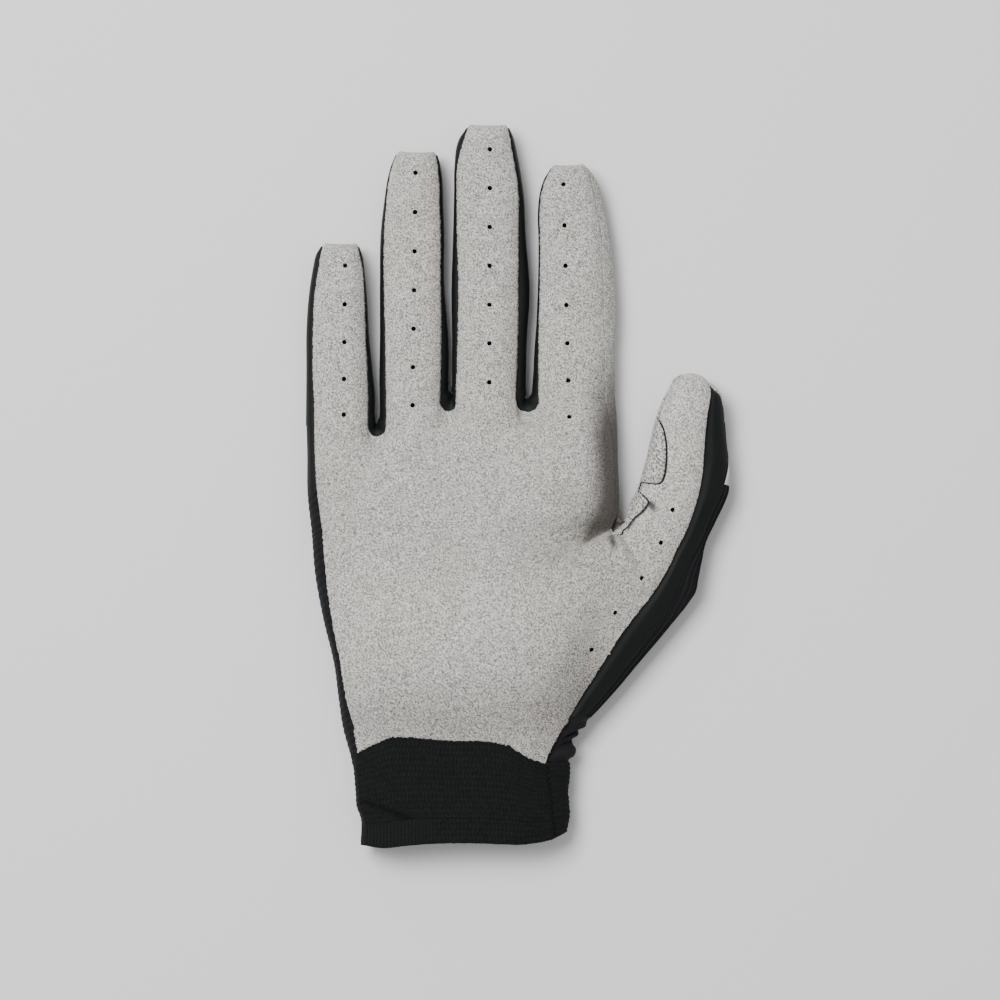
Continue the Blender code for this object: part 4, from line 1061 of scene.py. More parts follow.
class Sheet:
    """Collects the grids of one piece's outer face and makes them one walled mesh."""

    def __init__(self, form, name, wall):
        self.form = form
        self.name = name
        self.wall = wall
        self.points = []
        self.quads = []
        self.weave = []
        self.hollow = []
        self.count = 0

    def add(self, grid, flip=False, hollow=0.0):
        """Adds a grid. Its weave coordinates are its rows' and columns' own mean lengths, in metres. It also
        carries each point's painted shade, from 0 to 1.
        """
        hollow = np.broadcast_to(hollow, grid.shape[:2])
        steps = np.linalg.norm(np.diff(grid, axis=1), axis=2).mean(axis=0)
        rises = np.linalg.norm(np.diff(grid, axis=0), axis=2).mean(axis=1)
        u, v = np.meshgrid(np.append(0, np.cumsum(steps)), np.append(0, np.cumsum(rises)))
        weave = np.stack([u, v], axis=-1)
        if flip:
            grid, weave, hollow = grid[:, ::-1], weave[:, ::-1], hollow[:, ::-1]
        rows, columns = grid.shape[:2]
        index = self.count + np.arange(rows * columns).reshape(rows, columns)
        quads = np.stack([index[:-1, :-1], index[:-1, 1:], index[1:, 1:], index[1:, :-1]], axis=-1)
        self.quads.append(quads.reshape(-1, 4))
        self.points.append(grid.reshape(-1, 3) - self.form.centre)
        self.weave.append(weave.reshape(-1, 2))
        self.hollow.append(hollow.reshape(-1))
        self.count += rows * columns
        return self

    def build(self, finish, slot, nodes, rough=None, trim=0.0, holes=None):
        """Makes the mesh, merges shared borders, roughens free edges and gives the piece its wall."""
        points = np.concatenate(self.points)
        quads = np.concatenate(self.quads)
        mesh = bpy.data.meshes.new(self.name)
        mesh.vertices.add(len(points))
        mesh.vertices.foreach_set("co", points.ravel())
        mesh.loops.add(quads.size)
        mesh.loops.foreach_set("vertex_index", quads.ravel())
        mesh.polygons.add(len(quads))
        mesh.polygons.foreach_set("loop_start", np.arange(0, quads.size, 4))
        mesh.update(calc_edges=True)
        mesh.uv_layers.new(name="weave").data.foreach_set("uv", np.concatenate(self.weave)[quads].ravel())
        # Painted shade: a point attribute from 0 to 1 that the finishes read to darken their colour.
        hollow = mesh.attributes.new("hollow", "FLOAT", "POINT")
        hollow.data.foreach_set("value", np.concatenate(self.hollow))
        with opened(mesh) as net:
            bmesh.ops.remove_doubles(net, verts=net.verts[:], dist=MERGE_DISTANCE)
            loose = [vertex for vertex in net.verts if not vertex.link_faces]
            bmesh.ops.delete(net, geom=loose, context="VERTS")
        if holes:
            pierce(mesh, *holes)
        trim_edges(mesh, trim, rough)
        piece = placed(mesh, finish, slot, nodes, self.wall)
        mesh.set_sharp_from_angle(angle=math.radians(60))
        return piece


def sewn(form, name, node, finish, slot, grid, trim=0.0, **marks):
    """A piece of one grid, as thick as suede where its name says so."""
    wall = form.cloth.suede_wall if "suede" in name else form.cloth.cloth_wall
    sheet = Sheet(form, name, wall)
    sheet.add(grid, **marks)
    sheet.build(finish, slot, (node,), trim=trim)


@contextmanager
def opened(mesh):
    """The mesh opened for editing, and written back at the end."""
    net = bmesh.new()
    net.from_mesh(mesh)
    yield net
    net.to_mesh(mesh)
    net.free()


def read(items, name, width, kind=float):
    """One property of a mesh's vertices, edges, loops or faces as an array."""
    values = np.empty(len(items) * width, kind)
    items.foreach_get(name, values)
    return values.reshape(-1, width) if width > 1 else values


def divided(mesh, kind, chosen, cuts):
    """Cuts the edges of the chosen faces, or the chosen edges, into equal parts."""
    with opened(mesh) as net:
        items = getattr(net, kind)
        items.ensure_lookup_table()
        items = [items[index] for index in chosen]
        if kind == "faces":
            items = list(dict.fromkeys(edge for face in items for edge in face.edges))
        bmesh.ops.subdivide_edges(net, edges=items, cuts=cuts, use_grid_fill=True)


def pierce(mesh, centres, radius, floor):
    """Round holes: divides the faces near each centre, draws a rim's points onto its circle and leaves
    out the faces inside. Only faces above the floor's height count."""

    def nearest():
        middles = read(mesh.polygons, "center", 3)
        away = np.min([np.hypot(*(middles[:, :2] - centre).T) for centre in centres], axis=0)
        return np.where(middles[:, 2] > floor, away, np.inf)

    divided(mesh, "faces", np.flatnonzero(nearest() < 1.7 * radius), 2)
    inside = nearest() < 0.93 * radius
    within = inside[np.repeat(np.arange(len(inside)), read(mesh.polygons, "loop_total", 1, int))]
    corners = read(mesh.loops, "vertex_index", 1, int)
    rim = np.intersect1d(corners[within], corners[~within])
    points = read(mesh.vertices, "co", 3)
    away = points[rim, None, :2] - np.array(centres)
    own = np.argmin(np.hypot(away[..., 0], away[..., 1]), axis=1)
    away = away[np.arange(len(rim)), own]
    points[rim, :2] = np.array(centres)[own] + away / np.hypot(*away.T)[:, None] * radius
    mesh.vertices.foreach_set("co", points.ravel())
    with opened(mesh) as net:
        net.faces.ensure_lookup_table()
        inner = [net.faces[index] for index in np.flatnonzero(inside)]
        bmesh.ops.delete(net, geom=inner, context="FACES")


def trim_edges(mesh, trim, rough):
    """Draws free edges inwards by the trim and, where given, by a noise that depends on the place."""
    if not trim and rough is None:
        return
    if rough is not None:
        loop_edges = read(mesh.loops, "edge_index", 1, int)
        ends = read(mesh.vertices, "co", 3)[read(mesh.edges, "vertices", 2, int)]
        long = np.linalg.norm(ends[:, 1] - ends[:, 0], axis=1) > LONG_EDGE
        free = np.bincount(loop_edges, minlength=len(mesh.edges)) == 1
        divided(mesh, "edges", np.flatnonzero(free & long & (rough(ends.mean(axis=1)) != 0)), 2)
    points = read(mesh.vertices, "co", 3)
    edges = read(mesh.edges, "vertices", 2, int)
    loop_edges = read(mesh.loops, "edge_index", 1, int)
    totals = read(mesh.polygons, "loop_total", 1, int)
    centres = read(mesh.polygons, "center", 3)
    faces = np.repeat(np.arange(len(totals)), totals)
    free = np.bincount(loop_edges, minlength=len(edges))[loop_edges] == 1
    ends = edges[loop_edges[free]]
    first, second = points[ends[:, 0]], points[ends[:, 1]]
    along = unit(second - first)
    inward = centres[faces[free]] - (first + second) / 2
    inward = unit(inward - (inward * along).sum(axis=1, keepdims=True) * along)
    total = np.zeros_like(points)
    np.add.at(total, ends[:, 0], inward)
    np.add.at(total, ends[:, 1], inward)
    amount = np.full(len(points), trim)
    if rough is not None:
        amount = amount + rough(points)
    mesh.vertices.foreach_set("co", (points + unit(total) * amount[:, None]).ravel())


def placed(mesh, finish, slot, nodes=(), wall=0.0):
    """A smooth piece of this mesh, with its wall inwards where it has one. It rides on the glove's body and
    stands for the solids named. The slot is not used."""
    mesh.materials.append(finish)
    mesh.shade_smooth()
    piece = bpy.data.objects.new(mesh.name, mesh)
    bpy.context.scene.collection.objects.link(piece)
    if wall:
        solid = piece.modifiers.new("Wall", "SOLIDIFY")
        solid.thickness = wall
        solid.offset = -1
    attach(piece, "root")
    if nodes:
        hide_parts(*nodes)
    return piece


def glove_form(context):
    scene = context.scene
    return HandForm(scene.glove_sizes, scene.glove_cloth)


def strip_profile(form, count, top=1.0, bottom=-1.0, front=True, back=True):
    """Places, runs and drops across a band: even places, sinking at both seams, then the allowances."""
    cloth = form.cloth
    places = np.linspace(top, bottom, count + 1)
    run = np.zeros(count + 1)
    drop = cloth.seam_step * easing((np.abs(places) - 0.7) / 0.3)
    steps = np.linspace(0, 1, 4)[1:]
    under = (np.full(3, 1.0), cloth.seam_run * steps, cloth.seam_step + cloth.seam_drop * steps)
    if front:
        places, run, drop = (np.concatenate([a[::-1], b]) for a, b in zip(under, (places, run, drop)))
    if back:
        places, run, drop = (
            np.concatenate([b, sign * a]) for sign, a, b in zip((-1, 1, 1), under, (places, run, drop))
        )
    return places, run, drop


def strip_count(form, stations):
    """How many columns a strip needs for square cells: its length round the outline over the cell."""
    height = np.median(stations[:, 4] - stations[:, 5])
    bulge = np.median(np.linalg.norm(stations[:, 2:4] - stations[:, :2], axis=1))
    return max(8, round((height + 2 * bulge) * 0.9 / form.cloth.cell))


def thumb_split(form, stations):
    """The place on each station of the thumb's side where the smooth band ends: a column of places."""
    taken = smooth_read(BAND_SHARES, stations[:, 3] / form.sizes.palm_length)
    return np.sqrt(1 - np.minimum(taken, 0.98))[:, None]


class Finish:
    """A node material under construction: each call adds a node and hands back its output."""

    def __init__(self, name, **shader):
        self.material = bpy.data.materials.new(name)
        self.material.use_nodes = True
        self.tree = self.material.node_tree
        self.shader = self.tree.nodes["Principled BSDF"]
        for socket, value in shader.items():
            self.shader.inputs[socket.replace("_", " ").title().replace("Ior", "IOR")].default_value = value
        self.place = self.tree.nodes.new("ShaderNodeTexCoord").outputs["Object"]

    def node(self, kind, links=(), **values):
        node = self.tree.nodes.new(kind)
        for name, value in values.items():
            setattr(node, name, value)
        for socket, value in dict(links).items():
            if isinstance(value, bpy.types.NodeSocket):
                self.tree.links.new(value, node.inputs[socket])
            else:
                node.inputs[socket].default_value = value
        return node

    def mapped(self, source, scale, turn=0.0):
        """The place in a turned frame, divided by the scale: a pattern drawn out along its axes."""
        links = {"Vector": source, "Scale": scale, "Rotation": (0, 0, math.radians(turn))}
        return self.node("ShaderNodeMapping", links, vector_type="TEXTURE").outputs[0]

    def noise(self, source, size, detail=2.0, roughness=0.5):
        """Noise with lumps of this size, in metres."""
        links = {"Vector": source, "Scale": 1 / size, "Detail": detail, "Roughness": roughness}
        return self.node("ShaderNodeTexNoise", links).outputs["Fac"]

    def ramp(self, source, *stops):
        """Reads a value off a ramp whose stops are (place, level)."""
        node = self.node("ShaderNodeValToRGB", {"Fac": source})
        ramp = node.color_ramp
        while len(ramp.elements) < len(stops):
            ramp.elements.new(0.5)
        for element, (place, level) in zip(ramp.elements, stops):
            element.position = place
            element.color = (level, level, level, 1)
        return node.outputs["Color"]

    def weighted(self, *parts):
        """The sum of the parts, each a value and its weight."""
        total = None
        for value, weight in parts:
            part = self.node("ShaderNodeMath", {0: value, 1: weight}, operation="MULTIPLY").outputs[0]
            total = part if total is None else self.node("ShaderNodeMath", {0: total, 1: part}).outputs[0]
        return total

    def blend(self, share, first, second):
        first = (*first, 1) if not isinstance(first, bpy.types.NodeSocket) else first
        second = (*second, 1) if not isinstance(second, bpy.types.NodeSocket) else second
        node = self.node("ShaderNodeMix", {0: share, 6: first, 7: second}, data_type="RGBA")
        return node.outputs[2]

    def tones(self, share, colour, dark, light):
        """From a darker to a lighter tone of one colour, by a share."""
        return self.blend(share, shaded(colour, dark), shaded(colour, light))

    def attribute(self, name):
        return self.node("ShaderNodeAttribute", attribute_name=name).outputs["Fac"]

    def colour(self, value):
        self.tree.links.new(value, self.shader.inputs["Base Color"])

    def bump(self, height, depth, strength=1.0):
        bump = self.node("ShaderNodeBump", {"Height": height, "Distance": depth, "Strength": strength})
        self.tree.links.new(bump.outputs[0], self.shader.inputs["Normal"])


def shaded(colour, level):
    return tuple(min(1.0, part * level) for part in colour)


def suede_finish(name, colours, nap, level=1.0, contrast=1.0):
    """Suede: fine strokes of nap that slant both ways, wide warm patches and a velvet sheen. A point
    attribute blends it towards two dark tints, which are painted shade: where the suede turns from the light,
    in its folds, pleats and seams, and in wide soft patches."""
    finish = Finish(name, roughness=0.95, sheen_weight=0.22, sheen_roughness=0.6, specular_ior_level=0.2)
    strokes = finish.noise(finish.mapped(finish.place, (1.0, 2.0, 1.0), 45), nap, 1.0, 0.5)
    cross = finish.noise(finish.mapped(finish.place, (1.0, 1.6, 1.0), -50), nap * 0.8, 1.0, 0.5)
    clumps = finish.noise(finish.place, nap * 6, 2.0, 0.5)
    wide = finish.noise(finish.place, 0.030, 2.0, 0.5)
    mixed = finish.weighted((strokes, 0.50), (cross, 0.40), (clumps, 0.10))
    spread = 0.098 / contrast
    light = finish.ramp(mixed, (0.5 - spread, 0.0), (0.5 + spread, 1.0))
    tone = finish.blend(light, shaded(colours.suede_shade, level), shaded(colours.suede, level))
    warm = finish.blend(light, shaded(colours.warm_shade, level), shaded(colours.warm_suede, level))
    tone = finish.blend(finish.ramp(wide, (0.42, 0.0), (0.62, 0.7)), tone, warm)
    # Painted shade: the two dark tints, blended in by the point attribute.
    dark = finish.blend(light, shaded(colours.nap_in_painted_shade, level), shaded(colours.deep_suede, level))
    finish.colour(finish.blend(finish.attribute("hollow"), tone, dark))
    finish.bump(mixed, 0.0011, 0.55)
    return finish.material


def smooth_finish(colours):
    """Smooth stretch cloth: a very fine weave that catches a little light."""
    finish = Finish(
        "smooth_cloth", roughness=0.62, sheen_weight=0.02, sheen_roughness=0.45, specular_ior_level=0.22
    )
    fine = finish.noise(finish.mapped(finish.place, (1.0, 2.0, 1.0)), 0.00035, 2.0, 0.5)
    wide = finish.noise(finish.place, 0.009, 2.0, 0.5)
    level = finish.ramp(finish.weighted((fine, 0.6), (wide, 0.4)), (0.35, 0.0), (0.65, 1.0))
    finish.colour(finish.tones(level, colours.smooth, 0.75, 1.35))
    finish.bump(fine, 0.0003, 0.35)
    return finish.material


def ribbed_finish(colours):
    """Ribbed back cloth: painted shade in its grooves and painted light on its ribs, with fine yarns along
    the ribs.
    """
    finish = Finish(
        "ribbed_cloth", roughness=0.75, sheen_weight=0.02, sheen_roughness=0.5, specular_ior_level=0.2
    )
    yarn = finish.noise(finish.mapped(finish.place, (1.0, 2.8, 1.0)), 0.0004, 2.0, 0.6)
    tone = finish.tones(finish.attribute("hollow"), colours.ribbed, 1.6, 0.3)
    light = finish.ramp(yarn, (0.35, 0.0), (0.65, 0.5))
    finish.colour(finish.blend(light, tone, shaded(colours.ribbed, 1.8)))
    finish.bump(yarn, 0.0004, 0.5)
    return finish.material


def knit_finish(colours):
    """The cuff's knit: painted shade between its loops and a painted highlight on their tops."""
    finish = Finish(
        "cuff_knit", roughness=0.85, sheen_weight=0.02, sheen_roughness=0.5, specular_ior_level=0.15
    )
    yarn = finish.noise(finish.place, 0.00035, 3.0, 0.6)
    tone = finish.tones(finish.attribute("hollow"), colours.knit, 2.4, 0.10)
    light = finish.ramp(yarn, (0.42, 0.0), (0.66, 0.55))
    finish.colour(finish.blend(light, tone, shaded(colours.knit, 4.2)))
    finish.bump(yarn, 0.0004, 0.5)
    return finish.material


def patch_finish(colours):
    """The plain patch: a smooth coated cloth with a faint weave."""
    finish = Finish("plain_patch", roughness=0.6, specular_ior_level=0.4)
    weave = finish.noise(finish.place, 0.0005, 2.0, 0.5)
    finish.colour(finish.tones(weave, colours.patch, 0.92, 1.06))
    finish.bump(weave, 0.0002, 0.4)
    return finish.material


def thread_finish(name, colour):
    """Twisted thread: light and dark twists along its length."""
    finish = Finish(name, roughness=0.75, specular_ior_level=0.15)
    twist = finish.noise(finish.place, 0.0003, 2.0, 0.5)
    light = finish.ramp(twist, (0.35, 0.0), (0.65, 1.0))
    finish.colour(finish.tones(light, colour, 0.6, 1.5))
    finish.bump(twist, 0.0002, 0.5)
    return finish.material


class GLOVE_OT_palm(bpy.types.Operator):
    """Builds the suede palm: the hand block, the fingers' fronts and their wraps over the tips"""

    bl_idname = "glove.palm"
    bl_label = "Suede palm"

    def execute(self, context):
        form = glove_form(context)
        colours = context.scene.glove_colours
        sheet = Sheet(form, "palm_suede", form.cloth.suede_wall)
        block = form.palm_block()
        sheet.add(block, hollow=form.palm_shade(block))
        for finger in FINGERS.values():
            grid = tongue(form, finger)
            # Painted shade on the fingers: the index finger takes the palm's full shade, the others at most
            # twice the even base.
            shade = np.minimum(form.palm_shade(grid), 1.0 if finger.name == "index" else 2 * BASE_SHADE)
            if finger.name == "thumb":
                shade = thumb_shade(form, grid)
            sheet.add(grid, hollow=shade)
        add_thumb_wrap(form, sheet)
        centres = [centre - form.centre[:2] for centre in hole_centres(form)]
        holes = (centres, form.cloth.hole_diameter / 2, 0.6 * form.sizes.finger_thickness)
        finish = suede_finish("palm_suede", colours, form.cloth.nap)
        sheet.build(finish, "palm_suede", ("palm_panel",), rough=cut_edge(form, centres), holes=holes)
        return {"FINISHED"}


def tongue(form, finger):
    """A finger's front and wrap. The thumb's columns start at its winding cut beside the web."""
    rows = form.tongue_rows(finger)
    across = form.across[finger.name]
    if finger.name == "thumb":
        cut = form.web_cut_across(finger, np.array(rows)[:, 0])
        cut = -1 + (cut + 1) * (np.array(rows)[:, 1] >= 1)
        across = cut[:, None] + (1 - cut[:, None]) * (across[None] + 1) / 2
    grid = form.finger_face(finger, rows, across)
    over = np.clip(np.array(rows)[:, 1], 0, 1)[:, None]
    grid[..., 2] += form.palm_relief(grid) * over
    return grid


def thumb_shade(form, grid):
    """The thumb gets the least painted shade, so it looks most brightly lit: the palm's even painted shade
    fades out over its lower half. Its pleat gets painted shade, and the edge of its cut a painted shadow."""
    rows = np.array(form.tongue_rows(FINGERS["thumb"]))
    shade = BASE_SHADE * (1 - easing(2 * rows[:, :1])) + form.pleat_shade(grid)
    shade[:, 0] = np.where(np.abs(rows[:, 0] - 0.42) < 0.36, 1.0, shade[:, 0])
    return np.clip(shade, 0, 1)


def add_thumb_wrap(form, sheet):
    """The suede round the thumb tip's side: it closes over the band's rounded end."""
    thumb = FINGERS["thumb"]
    turns = form.roll_turns()
    rows = form.wrap_rows(thumb)[::-1]
    rows = [(row, 1.0) for row, _ in rows] + form.roll_rows(thumb, turns[: len(turns) // 2])
    stations = form.finger_side(thumb, 1, rows)
    places = thumb_wrap_places(form, rows, stations)
    sheet.add(side_strip(stations, places), flip=False)


def hole_centres(form):
    """Even steps along each finger on a line bowed as a parabola, and the holes below the thumb."""
    for finger in FINGERS.values():
        root, forward, sideways = form.axes(finger)
        shares = np.linspace(0, 1, finger.holes.count)
        first, last, bend = finger.holes.first, finger.holes.last, finger.holes.bend
        for along in first + (last - first) * shares - 4 * bend * shares * (1 - shares):
            across = finger.holes.across * form.half_width(finger)
            yield root + along * form.length(finger) * forward + across * sideways
    for across, up in THENAR_HOLES:
        yield np.array([across * form.sizes.palm_width, up * form.sizes.palm_length])


def cut_edge(form, centres):
    """How far the cut edge wanders at a point: fine noise, stronger over the cuff's arch, none beside
    the index finger's side and round the holes."""
    root, forward, sideways = form.axes(FINGERS["index"])
    amount = form.cloth.edge_noise

    def rough(points):
        plan = points[:, :2] + form.centre[:2] - root
        still = (plan @ sideways > 0.2 * form.half_width(FINGERS["index"])) & (plan @ forward > -0.045)
        for centre in centres:
            still |= np.hypot(*(points[:, :2] - centre).T) < form.cloth.hole_diameter
        x, y = points[:, 0] + points[:, 2], points[:, 1] - points[:, 2]
        over_cuff = easing((0.08 * form.sizes.palm_length - points[:, 1] - form.centre[1]) / HAIR_FADE)
        hairs = over_cuff * np.abs(plan_noise(x, y, HAIR_CELL, 13)) ** 2
        return np.where(still, 0.0, amount * (0.6 + waves(x, y, CUT_WAVES) - 2.2 * hairs))

    return rough


def thumb_wrap_places(form, rows, stations):
    """Places of the suede round the thumb's tip: from the band's edge, which rounds off, to the back."""
    row, turn = np.array(rows, float).T
    top = np.interp(math.cos(math.pi / 3) ** ROLL_POWER, turn[::-1], row[::-1])
    start = top - WRAP_ROUND / form.length(FINGERS["thumb"])
    t = np.clip((row - start) / (top - start), 0, 1)[:, None]
    first = 1 - (1 - thumb_split(form, stations)) * np.sqrt(1 - t * t)
    return first + (-1 - first) * np.linspace(0, 1, 23)


class GLOVE_OT_back(bpy.types.Operator):
    """Builds the ribbed back cloth, with the little finger's side, the thumb's side and the gathers"""

    bl_idname = "glove.back"
    bl_label = "Ribbed back"

    def execute(self, context):
        form = glove_form(context)
        sheet = Sheet(form, "back_cloth", form.cloth.cloth_wall)
        add_ribbed(sheet, form, form.back_block())
        for finger in FINGERS.values():
            rows, sunk = form.cloth_rows(finger)
            face = form.finger_face(finger, [(row, -1.0) for row in rows], form.across[finger.name])
            face[..., 2] += sunk[:, None]
            add_ribbed(sheet, form, face)
        add_little_side(form, sheet)
        add_thumb_side(form, sheet)
        finish = ribbed_finish(context.scene.glove_colours)
        sheet.build(finish, "ribbed_cloth", ("back_panel",))
        return {"FINISHED"}


def add_ribbed(sheet, form, grid):
    """Grooves between upright ribs: the square of a raised cosine of the place across the hand."""
    cloth = form.cloth
    groove = (0.5 - 0.5 * np.cos(2 * math.pi * grid[..., 0] / cloth.rib_pitch)) ** 2
    grid = grid.copy()
    grid[..., 2] += cloth.rib_depth * groove
    # The groove's depth is also its painted shade.
    sheet.add(grid, flip=True, hollow=groove)


def add_little_side(form, sheet):
    """The side of the hand below the smooth band. Its slanting ribs are squares of a raised cosine."""
    stations = form.little_edge[: form.band_start + 1][::-1]
    count = strip_count(form, stations)
    places = np.linspace(1, -1, count + 1)
    drop = form.cloth.seam_step * easing((places - 0.7) / 0.3)
    strip = side_strip(stations, places, 0.0, drop)
    run = np.arange(len(stations))[:, None] * form.cloth.cell + places[None] * SIDE_RIB_SLANT
    groove = (0.5 - 0.5 * np.cos(2 * math.pi * run / form.cloth.side_rib_pitch)) ** 2
    strip = raised(strip, -form.cloth.side_rib_depth * groove, False)
    # Painted shade in the grooves between the ribs.
    sheet.add(strip, hollow=groove)
    steps = np.linspace(1, 0, 4)
    drop = form.cloth.seam_step + form.cloth.seam_drop * steps
    sheet.add(side_strip(stations, np.ones(4), form.cloth.seam_run * steps, drop))


def add_thumb_side(form, sheet):
    """The thumb's side behind the smooth band, with three long ridges along it from a cosine of the place,
    and the gathers below it."""
    thumb = FINGERS["thumb"]
    rows, sunk = form.cloth_rows(thumb)
    up_thumb = form.finger_side(thumb, 1, [(row, 1.0) for row in rows])
    stations = np.concatenate([form.thumb_edge[form.gathered :], up_thumb[1:]])
    split = thumb_split(form, stations)
    count = round(2.2 * strip_count(form, stations) * 0.75)
    places = split + (-1 - split) * np.linspace(0, 1, count + 1) ** 1.15
    strip = side_strip(stations, places)
    ridge = np.cos(2 * math.pi * (split - places) / RIDGE_PITCH) * easing((split - places) / 0.04)
    ridge = ridge * (1 - easing((-0.25 - places) / 0.3))
    strength = 0.75 + 0.35 * plan_noise(stations[:, 1], 0 * stations[:, 1], RIDGE_CELL, 8)
    wave = 0.5 + 0.5 * ridge * strength[:, None]
    below = len(form.thumb_edge) - form.gathered
    recess = patch_recess(np.append(np.full(below, -1.0), rows[1:]), places)
    sunk = np.append(np.zeros(below), sunk[1:])[:, None]
    lift = -form.cloth.ridge_depth * (1 - wave) - form.cloth.patch_depth * recess - sunk
    strip = raised(strip, lift, False)
    # Painted shade between the ridges.
    sheet.add(strip, hollow=1 - wave)
    sheet.add(gathered_side(form))


def patch_recess(rows, places):
    """How deep the cloth is pressed in under the thumb's patch, from 0 to 1."""
    edge = np.interp(rows, PATCH_SPAN, PATCH_EDGE)[:, None]
    inside = easing((rows[:, None] - PATCH_SPAN[0]) / 0.012) * easing((PATCH_SPAN[1] - rows[:, None]) / 0.012)
    return inside * easing((edge - places) / 0.05)


def gathered_side(form):
    """The side of the hand above the cuff, pulled into slanting notches: bell curves of the distance."""
    stations = form.thumb_edge[: form.gathered + 1]
    ups = form.thumb_ups[: form.gathered + 1]
    split = thumb_split(form, stations)
    places = 1 + (split - 1) * np.linspace(0, 1, 9)
    below = split + (-1 - split) * np.linspace(0, 1, round(2.2 * strip_count(form, stations) * 0.75) + 1)[1:]
    places = np.concatenate([places, below], axis=1)
    strip = side_strip(stations, places, 0.0, form.cloth.seam_step * easing((places - 0.7) / 0.3))
    lift = np.zeros(strip.shape[:2])
    for notch in NOTCHES:
        slant = notch.slope * NOTCH_SLANT * places * np.abs(places)
        away = (ups[:, None] - notch.up) * form.sizes.palm_length + slant
        lift -= notch.depth * bell(away, notch.width)
    lift *= easing((1.0 - np.abs(places)) / 0.35)
    lift -= CRINKLE_DEPTH * (0.5 + 0.5 * plan_noise(strip[..., 1] * 2.0, strip[..., 2], CRINKLE_CELL, 9))
    return raised(strip, lift, False)


class GLOVE_OT_bands(bpy.types.Operator):
    """Builds the smooth bands between the fingers, up the little finger's side and up the thumb's side"""

    bl_idname = "glove.bands"
    bl_label = "Smooth bands"

    def execute(self, context):
        form = glove_form(context)
        finish = smooth_finish(context.scene.glove_colours)
        for crotch, arc in zip(CROTCHES, form.arcs):
            build_fourchette(form, finish, crotch, arc)
        build_little_band(form, finish)
        build_thumb_band(form, finish)
        return {"FINISHED"}


def build_fourchette(form, finish, crotch, arc):
    """A band down one finger's side, round the crotch and up the next one's. A bell curve makes the fold
    below it, and two more its lips."""
    down = form.sides[crotch.left, 1][::-1]
    path = np.concatenate([down, arc, form.sides[crotch.right, -1]])
    places, run, drop = strip_profile(form, strip_count(form, path))
    strip = side_strip(path, places, run, drop)
    bottom = (np.arange(len(path)) - len(down) - len(arc) / 2 + 0.5)[:, None] * form.cloth.cell
    aside = np.array(places)[None]
    lift = -FOLD_DEPTH * bell(bottom, FOLD_WIDTH) * bell(aside - 0.35, 0.45)
    lips = bell(bottom - LIP_DISTANCE, FOLD_WIDTH) + bell(bottom + LIP_DISTANCE, FOLD_WIDTH)
    lift = lift + LIP_HEIGHT * lips * bell(aside - 0.4, 0.4)
    inner = (run == 0) * easing((1 - np.abs(places)) / 0.3)
    strip = raised(strip, lift * inner[None], True)
    pair = f"{crotch.left}_{crotch.right}"
    sewn(form, f"band_{pair}", f"fourchette_{pair}", finish, "smooth_cloth", strip, flip=True)


def build_little_band(form, finish):
    """The band up the outer side of the hand and the little finger."""
    side = form.sides["little", -1][::-1]
    path = np.concatenate([side, form.little_edge[form.band_start - 4 : -1][::-1]])
    places, run, drop = strip_profile(form, strip_count(form, path))
    strip = side_strip(path, places, run, drop)
    under = -form.cloth.seam_drop * np.clip(1 - np.arange(len(path))[::-1] / 4, 0, 1)
    strip = raised(strip, under[:, None], False)
    sewn(form, "band_little_side", "little_side_band", finish, "smooth_cloth", strip)


def build_thumb_band(form, finish):
    """The band up the thumb's side: it ends in a round under the suede's tip."""
    thumb = FINGERS["thumb"]
    side = form.sides["thumb", 1]
    rows = np.array(form.side_rows(thumb))
    keep = rows[:, 1] >= math.cos(math.pi / 3) ** ROLL_POWER - 0.03
    side = side[keep]
    first = max(form.gathered - 4, 0)
    path = np.concatenate([form.thumb_edge[first:-1], side])[::-1]
    split = thumb_split(form, path)
    count = round(1.5 * strip_count(form, path) * 0.35)
    places, run, drop = strip_profile(form, count, 1.0, 0.0, back=False)
    places = np.where(places < 1, split + (1 - split) * places, 1.0)
    places = np.concatenate([places, split - np.array(PAST_BAND)], axis=1)
    more = np.zeros(len(PAST_BAND))
    run, drop = np.append(run, more), np.append(drop, more)
    sunk = np.append(np.zeros(places.shape[1] - len(BAND_SINK)), BAND_SINK)
    strip = side_strip(path, places, run, drop)
    index = np.arange(len(path))
    low, top = BAND_ENDS
    ends = low * np.clip(1 - index[::-1] / 4, 0, 1) + top * np.clip(1 - index / 6, 0, 1)
    strip = raised(strip, -(sunk[None] + ends[:, None]), True)
    sewn(form, "band_thumb_side", "thumb_side_band", finish, "smooth_cloth", strip, flip=True)


class GLOVE_OT_suede_sides(bpy.types.Operator):
    """Builds the suede on the index finger's side and the rough patch at the thumb's web"""

    bl_idname = "glove.suede_sides"
    bl_label = "Suede sides"

    def execute(self, context):
        form = glove_form(context)
        colours = context.scene.glove_colours
        # The index finger's side takes a darker copy of the suede: painted shade for a side turned from the
        # light.
        build_index_side(form, suede_finish("index_suede", colours, form.cloth.nap, 0.74))
        finish = suede_finish("web_suede", colours, form.cloth.nap * 1.6, 0.84, 1.5)
        build_web(form, finish)
        return {"FINISHED"}


def build_index_side(form, finish):
    """The suede on the index finger's side, flush with the palm's suede."""
    path = np.concatenate([form.sides["index", 1][::-1], form.index_edge[::-1]])
    count = strip_count(form, path)
    places, run, drop = strip_profile(form, count, front=False)
    drop = np.where(places > 0, 0.0, drop)
    below = easing((np.arange(len(path)) - len(form.sides["index", 1]) + 10) / 20)[:, None, None]
    # Painted shade over the whole side, fading out towards the fingertip.
    shade = easing((1.22 - path[:, 1] / form.sizes.palm_length) / 0.30)[:, None]
    strip = side_strip(path, places, run, drop, 2 - 0.35 * below)
    marks = {"flip": True, "hollow": shade}
    sewn(form, "index_side_suede", "index_side_panel", finish, "palm_suede", strip, **marks)


